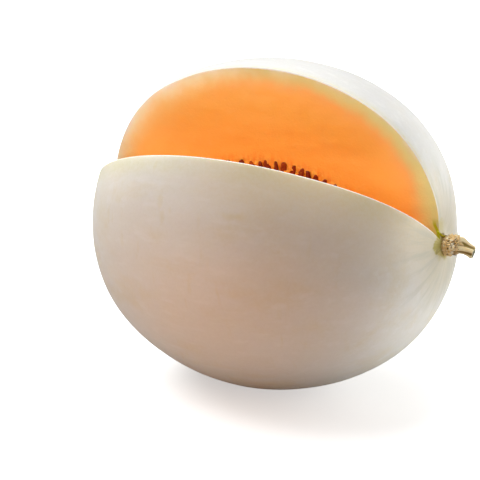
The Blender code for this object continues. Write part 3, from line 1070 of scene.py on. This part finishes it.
class Nodes:
    """Short ways to make and join the nodes of one material."""

    def __init__(self, name):
        self.material = bpy.data.materials.new(name)
        self.material.use_nodes = True
        self.tree = self.material.node_tree
        self.shader = self.tree.nodes["Principled BSDF"]

    def put(self, socket, value):
        if isinstance(value, bpy.types.NodeSocket):
            self.tree.links.new(value, socket)
        elif isinstance(value, tuple) and len(value) == 3 and socket.type == "RGBA":
            socket.default_value = (*value, 1.0)
        else:
            socket.default_value = value

    def add(self, kind, **inputs):
        node = self.tree.nodes.new(kind)
        for key, value in inputs.items():
            self.put(node.inputs[key], value)
        return node

    def surface(self, **inputs):
        for key, value in inputs.items():
            self.put(self.shader.inputs[key.replace("_", " ")], value)
        return self.material

    def place(self):
        return self.add("ShaderNodeTexCoord").outputs["Object"]

    def attribute(self, name):
        node = self.add("ShaderNodeAttribute")
        node.attribute_name = name
        return node.outputs["Fac"]

    def split(self, vector):
        return self.add("ShaderNodeSeparateXYZ", Vector=vector).outputs

    def join(self, x, y, z):
        return self.add("ShaderNodeCombineXYZ", X=x, Y=y, Z=z).outputs[0]

    def vector_math(self, operation, a, b=None, out=0):
        node = self.add("ShaderNodeVectorMath")
        node.operation = operation
        self.put(node.inputs[0], a)
        if b is not None:
            self.put(node.inputs[1], b)
        return node.outputs[out]

    def math(self, operation, *values):
        node = self.add("ShaderNodeMath")
        node.operation = operation
        for socket, value in zip(node.inputs, values):
            self.put(socket, value)
        return node.outputs[0]

    def band(self, value, low, high, to_low=0.0, to_high=1.0):
        """Eases from one number to another as a value goes from low to high."""
        node = self.add("ShaderNodeMapRange")
        node.interpolation_type = "SMOOTHSTEP"
        flip = low > high
        if flip:
            low, high, to_low, to_high = high, low, to_high, to_low
        for key, number in (("Value", value), ("From Min", low), ("From Max", high),
                            ("To Min", to_low), ("To Max", to_high)):
            self.put(node.inputs[key], number)
        return node.outputs["Result"]

    def times(self, *values):
        return self.math("MULTIPLY", *values)

    def plus(self, *values):
        return self.math("ADD", *values)

    def noise_at(self, vector, scale=1.0, detail=2.0, roughness=0.5):
        node = self.add("ShaderNodeTexNoise", Vector=vector, Scale=scale, Detail=detail, Roughness=roughness)
        return node.outputs["Fac"]

    def noise(self, where, size, detail=2.0, roughness=0.5, stretch=(1.0, 1.0, 1.0)):
        """Soft noise with lumps of about this size in metres, drawn out along each axis by stretch."""
        scaled = self.vector_math("MULTIPLY", where, tuple(1 / (size * s) for s in stretch))
        return self.noise_at(scaled, 1.0, detail, roughness)

    def cells(self, where, size):
        scaled = self.vector_math("MULTIPLY", where, (1 / size,) * 3)
        return self.add("ShaderNodeTexVoronoi", Vector=scaled, Scale=1.0).outputs["Distance"]

    def ramp(self, value, stops, ease="EASE"):
        node = self.add("ShaderNodeValToRGB", Fac=value)
        points = node.color_ramp
        points.interpolation = ease
        while len(points.elements) < len(stops):
            points.elements.new(0.5)
        for element, (at, _) in zip(points.elements, stops):
            element.position = at
        for element, (_, colour) in zip(points.elements, stops):
            element.color = (*colour, 1.0)
        return node.outputs["Color"]

    def mix(self, factor, a, b, blend="MIX"):
        node = self.add("ShaderNodeMix")
        node.data_type = "RGBA"
        node.blend_type = blend
        self.put(node.inputs["Factor"], factor)
        self.put(node.inputs[6], a)
        self.put(node.inputs[7], b)
        return node.outputs[2]

    def tinted(self, colour, *layers):
        """Lays tints over a colour in turn. A layer has a value, its low and high, strength and tint."""
        for value, low, high, strength, tint in layers:
            colour = self.mix(self.band(value, low, high, 0.0, strength), colour, tint)
        return colour

    def bump(self, height, distance, strength=1.0, normal=None):
        node = self.add("ShaderNodeBump", Height=height, Distance=distance, Strength=strength)
        if normal is not None:
            self.put(node.inputs["Normal"], normal)
        return node.outputs["Normal"]


def marked(n, colour, where, wobble, marks):
    """Lays soft blotches over a colour. Each mark has a place, a size, a strength and a colour."""
    for centre, size, depth, shade in marks:
        off = n.vector_math("SUBTRACT", where, centre)
        scaled = n.vector_math("MULTIPLY", off, tuple(1 / s for s in size))
        away = n.vector_math("LENGTH", scaled, out="Value")
        blotch = n.band(n.plus(away, wobble), 1.25, 0.2)
        colour = n.mix(n.times(blotch, depth), colour, shade)
    return colour


def round_stem(n, where):
    """Distance from the stem, the way out from it, and streaks that run that way."""
    off = n.vector_math("SUBTRACT", where, (BOSS_TOP, BOSS_Y, AXIS_HEIGHT + BOSS_Z))
    from_stem = n.vector_math("LENGTH", off, out="Value")
    ray = n.vector_math("NORMALIZE", n.vector_math("MULTIPLY", off, (0.0, 1.0, 1.0)))
    _, ray_y, ray_z = n.split(ray)
    streak_at = n.join(n.times(from_stem, 22.0), n.times(ray_y, 4.6), n.times(ray_z, 4.6))
    return from_stem, ray, n.noise_at(streak_at, 1.6, 4.0, 0.62)


def rind_ground(n, where, height, broad, clouds):
    """The rind's colour away from the stem and the cuts."""
    rings = n.noise(where, 0.012, 3.0, 0.6, stretch=(0.45, 1.7, 1.7))
    brushed = n.noise(where, 0.0042, 3.0, 0.55, stretch=(5.0, 1.0, 1.0))
    return n.tinted(
        n.ramp(broad, ((0.30, RIND_WARM), (0.52, RIND_PLAIN), (0.72, RIND_COOL))),
        (clouds, 0.46, 0.72, 0.70, RIND_YELLOW),
        (rings, 0.58, 0.80, 0.30, RIND_STREAK),
        # Painted shade: greyer towards the top and darker on the crest, where the light from above is
        # strongest
        (height, 0.105, 0.160, 0.7, RIND_TOP_SHADE),
        (height, 0.148, 0.170, 0.6, RIND_CREST_SHADE),
        (brushed, 0.50, 0.74, 0.40, RIND_PALE),
    )


def rim_tints_and_glow(n, colour, x, broad, clouds):
    """Under the knife's edges the rind turns yellow-green and creamy: partly the flesh showing through,
    partly painted warm bounce light, most of it in the wide band under the near rim towards the stem.
    """
    near_rim, far_rim = n.attribute("below_near_rim"), n.attribute("below_far_rim")
    tint = n.times(n.band(near_rim, 0.0135, 0.0008, 0.0, 0.85), n.band(clouds, 0.25, 0.65, 0.45, 1.0))
    colour = n.mix(tint, colour, RIND_TINT)
    # Painted warm bounce light, with some of the rind's own creamy tone: a wide band under the near rim,
    # stronger towards the stem
    cream_glow = n.times(n.band(near_rim, 0.034, 0.006), n.band(x, -0.030, 0.030, 0.0, 0.60))
    colour = n.mix(n.times(cream_glow, n.band(broad, 0.2, 0.6, 0.5, 1.0)), colour, RIND_CREAM_GLOW)
    return n.tinted(colour, (far_rim, 0.006, 0.0, 0.30, RIND_TINT))


def neck_cover(n, from_stem, ray, streaks):
    """Where the boss is green. It reaches further out at one side, and less far above the stem."""
    facing = n.vector_math("DOT_PRODUCT", ray, NECK_WAY, out="Value")
    lobe = n.math("POWER", n.math("MAXIMUM", facing, 0.0), 6.0)
    above = n.times(n.math("MAXIMUM", n.split(ray)[2], 0.0), 0.0030)
    reach = n.plus(n.math("SUBTRACT", from_stem, n.times(lobe, 0.0074)), above)
    return n.band(n.plus(reach, n.band(streaks, 0.3, 0.7, -0.0007, 0.0007)), 0.0082, 0.0062)


def blossom_scar(n, colour, where, fine):
    """The small corky scar at the blossom end."""
    off = n.vector_math("SUBTRACT", where, (-HALF_LENGTH, 0.0, AXIS_HEIGHT))
    away = n.plus(n.vector_math("LENGTH", off, out="Value"), n.band(fine, 0.2, 0.8, -0.0012, 0.0012))
    return n.tinted(colour, (away, 0.020, 0.003, 0.45, RIND_TINT), (away, 0.0042, 0.0022, 1.0, SCAR))


def lip_tints(n, colour, from_stem):
    """The knife's lip is paler than the rind, partly its own white and partly a painted highlight along the
    edge, and olive by the stem.
    """
    lip = n.attribute("lip")
    paler_and_highlit = n.times(lip, n.band(from_stem, 0.010, 0.024))
    colour = n.mix(n.times(paler_and_highlit, 0.85), colour, LIP_WHITE_HIGHLIGHT)
    return n.mix(n.times(lip, n.band(from_stem, 0.013, 0.009)), colour, OLIVE)


def rind_material():
    n = Nodes("pale_waxy_rind")
    where = n.place()
    x, _, height = n.split(where)
    from_stem, ray, streaks = round_stem(n, where)
    broad = n.noise(where, 0.055)
    clouds = n.noise(where, 0.018, 4.0, 0.55, stretch=(2.2, 1.0, 1.0))
    fine = n.noise(where, 0.0016, 3.0, 0.6)
    grain = n.noise(where, 0.0006)
    wobble = n.band(n.noise(where, 0.004, 3.0, 0.6), 0.2, 0.8, -0.45, 0.45)

    colour = rind_ground(n, where, height, broad, clouds)
    colour = marked(n, colour, where, wobble, [(*mark, RIND_STREAK) for mark in RIND_MARKS])
    colour = rim_tints_and_glow(n, colour, x, broad, clouds)
    colour = n.tinted(colour, (fine, 0.30, 0.70, 0.16, RIND_BLOOM), (grain, 0.62, 0.80, 0.12, RIND_STREAK))

    # Grey-green streaks run out from the stem, and the boss itself is green
    shoulder = n.band(from_stem, 0.055, 0.010, 0.0, 0.62)
    colour = n.mix(n.times(shoulder, n.band(streaks, 0.44, 0.66)), colour, RIND_GREY_GREEN)
    colour = n.tinted(colour, (from_stem, 0.038, 0.013, 0.66, SHOULDER_WARM))
    neck = neck_cover(n, from_stem, ray, streaks)
    colour = n.mix(neck, colour, n.mix(n.band(streaks, 0.40, 0.62), NECK_GREEN, NECK_PALE))
    colour = marked(n, colour, where, wobble, NECK_MARKS)
    colour = blossom_scar(n, colour, where, fine)
    colour = lip_tints(n, colour, from_stem)

    relief = n.plus(n.times(clouds, 0.6), n.times(fine, 0.10))
    relief = n.plus(relief, n.times(n.times(shoulder, streaks), 0.60))
    normal = n.bump(relief, 0.0008, 0.35)
    normal = n.bump(grain, 0.00006, 0.5, normal)
    gloss = n.band(n.plus(n.times(clouds, 0.6), n.times(fine, 0.4)), 0.3, 0.7, 0.44, 0.56)
    gloss = n.plus(gloss, n.times(neck, 0.15))
    return n.surface(
        Base_Color=colour, Roughness=gloss, Normal=normal, IOR=1.45, Specular_IOR_Level=0.42,
        Subsurface_Weight=0.22, Subsurface_Radius=(1.0, 0.8, 0.5), Subsurface_Scale=0.0025,
        Coat_Weight=0.05, Coat_Roughness=0.40,
    )


def wall_fibres(n, x, wall):
    """Where fibres stand across the cavity's edge, the same in the flesh and in the pulp."""
    at = n.join(n.times(x, 1 / 0.0026), n.times(wall, 1 / 0.009), 0.0)
    return n.band(n.noise_at(at), 0.40, 0.64)


def olive_layer(n, colour, x, height, depth):
    """By the stem the layer under the rind turns a clear olive green."""
    inner = n.math("SUBTRACT", depth, n.band(height, 0.0940, 0.0985, 0.0010, 0.0022))
    level, by_stem = n.band(height, *OLIVE_HEIGHTS), n.band(x, 0.070, 0.080)
    strand = n.times(n.times(level, n.band(inner, 0.0022, 0.0012)), by_stem)
    colour = n.mix(n.times(strand, 0.95), colour, OLIVE)
    edge = n.times(n.times(level, n.band(inner, 0.0003, -0.0003)), by_stem)
    return n.mix(edge, colour, OLIVE_EDGE)


def flesh_material():
    n = Nodes("orange_flesh")
    where = n.place()
    x, _, height = n.split(where)
    depth, wall = n.attribute("depth"), n.attribute("wall")
    drift = n.noise(where, 0.016)
    cells = n.cells(where, 0.0011)
    fibres = n.noise(where, 0.0035, 3.0, 0.6)
    fine = n.noise(where, 0.0009, 3.0, 0.6)
    broad = n.noise(where, 0.030)

    # The band under the rind goes through green by the stem, and through cream further off
    wander = n.plus(n.band(drift, 0.2, 0.8, -0.0012, 0.0012), n.band(fibres, 0.2, 0.8, -0.0004, 0.0004))
    deep = n.times(n.plus(depth, wander), 1 / BAND_DEPTH)
    green, peach = n.ramp(deep, GREEN_BAND, "LINEAR"), n.ramp(deep, PEACH_BAND, "LINEAR")
    greener = n.band(n.plus(x, n.band(drift, 0.2, 0.8, -0.02, 0.02)), *GREEN_FROM)
    colour = n.tinted(n.mix(greener, peach, green), (x, 0.076, 0.087, 0.38, FLESH_END))
    colour = olive_layer(n, colour, x, height, depth)

    # The last millimetres above the seeds are deeper in colour, with a fringe of darker fibres
    colour = n.mix(n.band(wall, 0.014, 0.001), colour, FLESH_CAVITY)
    fringe = n.times(wall_fibres(n, x, wall), n.band(wall, 0.0042, 0.0, 0.0, 0.55))
    colour = n.mix(fringe, colour, FLESH_FRINGE)
    colour = n.tinted(colour, (broad, 0.35, 0.70, 0.18, FLESH_PALE))
    in_flesh = n.band(depth, 0.004, 0.014)
    fleck = n.times(in_flesh, n.band(fibres, 0.52, 0.75, 0.0, 0.16))
    colour = n.mix(fleck, colour, FLESH_PALE)
    spot = n.times(in_flesh, n.band(fine, 0.56, 0.78, 0.0, 0.12))
    colour = n.mix(spot, colour, FLESH_DEEP)

    # Painted shade: the near cut lies in full light, so its colour is darkened a little.
    colour = n.mix(n.attribute("near"), colour, NEAR_FACE_SHADE, "MULTIPLY")

    relief = n.plus(n.times(cells, 0.5), n.times(fibres, 0.9))
    normal = n.bump(n.plus(relief, n.times(fine, 0.4)), 0.00035, 0.5)
    gloss = n.band(fibres, 0.3, 0.7, 0.30, 0.46)
    return n.surface(
        Base_Color=colour, Roughness=gloss, Normal=normal, IOR=1.38, Specular_IOR_Level=0.40,
        Subsurface_Weight=0.25, Subsurface_Radius=(1.0, 0.35, 0.12), Subsurface_Scale=0.002,
        Coat_Weight=0.10, Coat_Roughness=0.20,
    )


def olive_strand_material():
    n = Nodes("olive_strand")
    where = n.place()
    x = n.split(where)[0]
    mottle = n.noise(where, 0.0010)
    # The olive darkens towards the stem: painted shade in the hollow by the cork
    colour = n.mix(n.band(x, 0.0930, 0.0945), OLIVE, OLIVE_SHADE)
    colour = n.mix(n.band(mottle, 0.45, 0.70, 0.0, 0.6), colour, OLIVE_LIGHT)
    return n.surface(Base_Color=colour, Roughness=0.6, Normal=n.bump(mottle, 0.0002, 0.5),
                     Specular_IOR_Level=0.15)


def pulp_material():
    n = Nodes("wet_pulp")
    where = n.place()
    lumps = n.noise(where, 0.0040, 3.0, 0.6)
    fine = n.noise(where, 0.0010)
    colour = n.ramp(lumps, ((0.30, PULP_DEEP), (0.50, PULP_ORANGE), (0.70, PULP_PALE)))
    colour = n.mix(n.band(fine, 0.55, 0.8, 0.0, 0.35), colour, PULP_PALE)
    wall = n.attribute("wall")
    colour = n.mix(n.band(wall, -0.0050, -0.0010), colour, FLESH_CAVITY)
    fibres = n.times(wall_fibres(n, n.split(where)[0], wall), n.band(wall, -0.0060, 0.0, 0.0, 0.55))
    colour = n.mix(fibres, colour, FLESH_FRINGE)
    normal = n.bump(n.plus(lumps, n.times(fine, 0.4)), 0.0005, 0.6)
    return n.surface(
        Base_Color=colour, Roughness=n.band(lumps, 0.3, 0.7, 0.16, 0.34), Normal=normal, IOR=1.36,
        Specular_IOR_Level=0.35, Subsurface_Weight=0.30, Subsurface_Radius=(1.0, 0.3, 0.08),
        Subsurface_Scale=0.003, Coat_Weight=0.12, Coat_Roughness=0.15,
    )


def seed_material():
    n = Nodes("wet_seed_coat_shaded")
    where = n.place()
    tone = n.attribute("seed_tone")
    mottle = n.noise(where, 0.0022, 3.0, 0.6)
    fine = n.noise(where, 0.0006)
    shade = n.plus(n.times(tone, 0.55), n.times(mottle, 0.5))
    # Painted shade and orange bounce light make the seeds dark red-brown; the tone differs at random from
    # seed to seed
    colour = n.ramp(shade, ((0.18, SEED_SHADED_DARK), (0.50, SEED_SHADED_BROWN), (0.78, SEED_SHADED_RED), (0.95, SEED_SHADED_AMBER)))
    normal = n.bump(n.plus(mottle, n.times(fine, 0.3)), 0.0002, 0.5)
    return n.surface(
        Base_Color=colour, Roughness=n.band(mottle, 0.3, 0.7, 0.30, 0.46), Normal=normal, IOR=1.42,
        Specular_IOR_Level=0.22, Subsurface_Weight=0.10, Subsurface_Radius=(1.0, 0.2, 0.05),
        Subsurface_Scale=0.0015, Coat_Weight=0.06, Coat_Roughness=0.20,
    )


def stem_material():
    n = Nodes("corky_stem")
    where = n.place()
    crack = n.attribute("crack")
    groove = n.attribute("groove")
    cork = n.attribute("cork")
    end = n.attribute("end")
    lumps = n.noise(where, 0.0016, 4.0, 0.65, stretch=(1.5, 1.0, 1.0))
    fibres = n.noise(where, 0.0011, 3.0, 0.6, stretch=(7.0, 1.0, 1.0))
    fine = n.noise(where, 0.0004, 3.0, 0.6)
    bark = n.ramp(lumps, ((0.22, CORK_BROWN), (0.40, CORK_TAN), (0.55, CORK_PINK), (0.68, CORK_PALE)))
    wood = n.ramp(fibres, ((0.30, RIB_TAN), (0.50, RIB_STRAW), (0.68, RIB_CREAM)))
    # The grooves between the ribs are olive, darkened partly as painted shade
    wood = n.mix(groove, wood, n.ramp(fibres, ((0.35, GROOVE_OLIVE_AND_SHADE), (0.65, GROOVE_BROWN_AND_SHADE))))
    colour = n.mix(cork, wood, bark)
    # Painted shade in the cracks between the cork's plates
    colour = n.mix(crack, colour, CORK_DARK_AND_SHADE)
    cut = n.ramp(n.noise(where, 0.0009, 3.0, 0.6), ((0.35, END_DARK), (0.65, END_GREY)))
    colour = n.mix(end, colour, cut)
    colour = n.mix(n.band(fine, 0.55, 0.8, 0.0, 0.12), colour, CORK_BROWN)
    relief = n.plus(n.times(fibres, 0.8), n.times(lumps, n.times(cork, 1.2)))
    normal = n.bump(n.plus(relief, n.times(fine, 0.3)), 0.0004, 0.7)
    return n.surface(Base_Color=colour, Roughness=n.band(lumps, 0.3, 0.7, 0.60, 0.85), Normal=normal,
                     Specular_IOR_Level=0.30)


def flake_material():
    n = Nodes("cork_flakes")
    where = n.place()
    tone = n.attribute("tone")
    rim = n.attribute("rim")
    lumps = n.noise(where, 0.0012, 4.0, 0.65, stretch=(2.0, 1.0, 1.0))
    shade = n.plus(n.times(tone, 0.6), n.times(lumps, 0.45))
    colour = n.ramp(shade, ((0.14, CORK_DARK_AND_SHADE), (0.28, CORK_BROWN), (0.42, CORK_TAN), (0.60, CORK_PINK),
                            (0.78, CORK_PALE)))
    # Painted shade: the flakes' edges and the peels' undersides darken where they lie on the stem
    colour = n.mix(n.band(rim, 0.45, 0.95, 0.0, 0.80), colour, CORK_DARK_AND_SHADE)
    normal = n.bump(lumps, 0.0004, 0.7)
    return n.surface(Base_Color=colour, Roughness=n.band(lumps, 0.3, 0.7, 0.6, 0.85), Normal=normal,
                     Specular_IOR_Level=0.30)


def floor_material():
    """Matt white board. It throws back less light than it shows."""
    n = Nodes("studio_floor")
    patches = n.noise(n.place(), 0.4)
    shown = n.ramp(patches, ((0.3, (FLOOR_WHITE,) * 3), (0.7, (FLOOR_WHITE + 0.01,) * 3)))
    seen = n.add("ShaderNodeLightPath").outputs["Is Camera Ray"]
    return n.surface(Base_Color=n.mix(seen, (FLOOR_BOUNCE,) * 3, shown), Roughness=0.65,
                     Specular_IOR_Level=0.1, Emission_Color=WHITE,
                     Emission_Strength=n.times(seen, FLOOR_GLOW))


# The camera, as fitted to the photograph: the melon's middle is off the picture's centre

def add_camera():
    right = Vector((math.cos(CAMERA_AZIMUTH), math.sin(CAMERA_AZIMUTH), 0.0))
    level = math.cos(CAMERA_ELEVATION)
    forward = Vector((-math.sin(CAMERA_AZIMUTH) * level, math.cos(CAMERA_AZIMUTH) * level,
                      -math.sin(CAMERA_ELEVATION)))
    up = right.cross(forward)
    data = bpy.data.cameras.new("camera")
    data.sensor_width = 36.0
    data.lens = CAMERA_LENS
    data.clip_start = 0.01
    camera = add_object("camera", data)
    bpy.context.scene.camera = camera
    place = Vector(FRUIT_MIDDLE) - HALF_LENGTH * (
        CAMERA_SHIFT[0] * right + CAMERA_SHIFT[1] * up + CAMERA_DISTANCE * forward
    )
    camera.matrix_world = Matrix.Translation(place) @ Matrix((right, up, -forward)).transposed().to_4x4()


# Floor and lights

def add_floor():
    mesh = bpy.data.meshes.new("floor")
    r = FLOOR_REACH
    mesh.from_pydata([(-r, -r, 0), (r, -r, 0), (r, r, 0), (-r, r, 0)], [], [(0, 1, 2, 3)])
    floor = add_object("floor", mesh)
    mesh.materials.append(floor_material())


def notch_place(x, radius, towards_far_cut=0.0):
    """A point halfway between the two cuts, or one moved from there square to the far cut."""
    middle = -math.sin(MID_CUT), math.cos(MID_CUT)
    square = math.cos(FAR_CUT), math.sin(FAR_CUT)
    return (x, radius * middle[0] + towards_far_cut * square[0],
            AXIS_HEIGHT + radius * middle[1] + towards_far_cut * square[1])


SMALL_LAMPS = (
    # name, place, width, height, brightness, colour, what it is turned to
    ("low_front", (0.03, -0.33, 0.03), 0.26, 0.06, 1.8, WARM_GLOW, FRUIT_MIDDLE),
    ("low_near_left", (-0.09, -0.20, 0.03), 0.10, 0.05, 0.8, WARM_GLOW, (-0.054, 0.0, 0.085)),
    ("low_near_middle", (0.0, -0.20, 0.03), 0.10, 0.05, 1.0, WARM_GLOW, FRUIT_MIDDLE),
    ("low_near_right", (0.10, -0.20, 0.03), 0.10, 0.05, 0.5, WARM_GLOW, (0.060, 0.0, 0.085)),
    ("low_right", (0.60, 0.20, 0.07), 0.40, 0.10, 5.2, WHITE, (0.05, 0.0, 0.05)),
    ("low_right_near", (0.13, -0.02, 0.014), 0.06, 0.03, 1.7, WHITE, (0.06, -0.01, 0.045)),
    ("stem_top", (0.118, -0.022, 0.128), 0.016, 0.016, 3.9, (1.0, 0.96, 0.88), (0.102, -0.003, 0.087)),
    ("notch_mouth", (0.0, -0.0500, 0.1600), 0.176, 0.050, 0.90, WHITE, (0.0, -0.0040, 0.0925)),
)
NOTCH_LAMPS = (
    # name, where it is in the notch and what it is turned to: x and radius. Width, height, brightness
    ("notch_root", (0.0, 0.037), (0.0, 0.037), 0.150, 0.018, 0.18),
    ("notch_end", (0.075, 0.050), (0.075, 0.050), 0.030, 0.040, 0.25),
    ("notch_stem", (0.084, 0.032), (0.082, 0.034), 0.024, 0.024, 0.12),
    ("notch_left", (-0.075, 0.050), (-0.075, 0.050), 0.030, 0.040, 0.22),
)


def add_lamp(name, kind, place, aim):
    data = bpy.data.lights.new(name, kind)
    lamp = add_object(name, data)
    lamp.location = place
    lamp.rotation_euler = (Vector(place) - Vector(aim)).to_track_quat("Z", "Y").to_euler()
    lamp.visible_camera = False
    return data


def add_panel(name, place, width, height, brightness, tint, aim):
    panel = add_lamp(name, "AREA", place, aim)
    panel.shape = "RECTANGLE"
    panel.size, panel.size_y = width, height
    panel.energy = math.pi * width * height * brightness
    panel.color = tint


def add_lights():
    sun = add_lamp("overhead", "SUN", SUN_FROM, (0.0, 0.0, 0.0))
    sun.energy = SUN_STRENGTH
    sun.angle = SUN_SPREAD
    for name, side, up, brightness in PANELS:
        turn, up = CAMERA_AZIMUTH + math.radians(side), math.radians(up)
        way = Vector((math.sin(turn) * math.cos(up), -math.cos(turn) * math.cos(up), math.sin(up)))
        place = Vector(FRUIT_MIDDLE) + PANEL_DISTANCE * way
        add_panel(name, place, *PANEL_SIZE, brightness, WHITE, FRUIT_MIDDLE)
    for lamp in SMALL_LAMPS:
        add_panel(*lamp)
    for name, at, aim, width, height, brightness in NOTCH_LAMPS:
        add_panel(name, notch_place(*at), width, height, brightness, WHITE, notch_place(*aim, NOTCH_AIM))


def add_world():
    world = bpy.data.worlds.new("studio")
    bpy.context.scene.world = world
    world.use_nodes = True
    nodes, links = world.node_tree.nodes, world.node_tree.links
    fill = nodes["Background"]
    fill.inputs["Color"].default_value = (*WORLD_TINT, 1)
    fill.inputs["Strength"].default_value = WORLD_FILL
    wall = nodes.new("ShaderNodeBackground")
    wall.inputs["Color"].default_value = (1, 1, 1, 1)
    wall.inputs["Strength"].default_value = 1.0
    seen = nodes.new("ShaderNodeLightPath")
    either = nodes.new("ShaderNodeMixShader")
    links.new(seen.outputs["Is Camera Ray"], either.inputs[0])
    links.new(fill.outputs[0], either.inputs[1])
    links.new(wall.outputs[0], either.inputs[2])
    links.new(either.outputs[0], nodes["World Output"].inputs["Surface"])


def dress(piece, materials, nodes):
    for material in materials:
        piece.data.materials.append(material)
    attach(piece, "root")
    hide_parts(nodes)


bpy.context.scene.view_settings.view_transform = "Standard"
dress(add_object("melon_rind_and_flesh", melon_mesh()), (rind_material(), flesh_material()),
      "melon")
dress(olive_strand_object(), (olive_strand_material(),), "melon")
dress(pulp_object(), (pulp_material(),), "seeds_and_pulp")
dress(seeds_object(), (seed_material(),), "seeds_and_pulp")
dress(stem_object(), (stem_material(),), "stem")
dress(flakes_object(), (flake_material(),), "stem")
add_camera()
add_floor()
add_lights()
add_world()
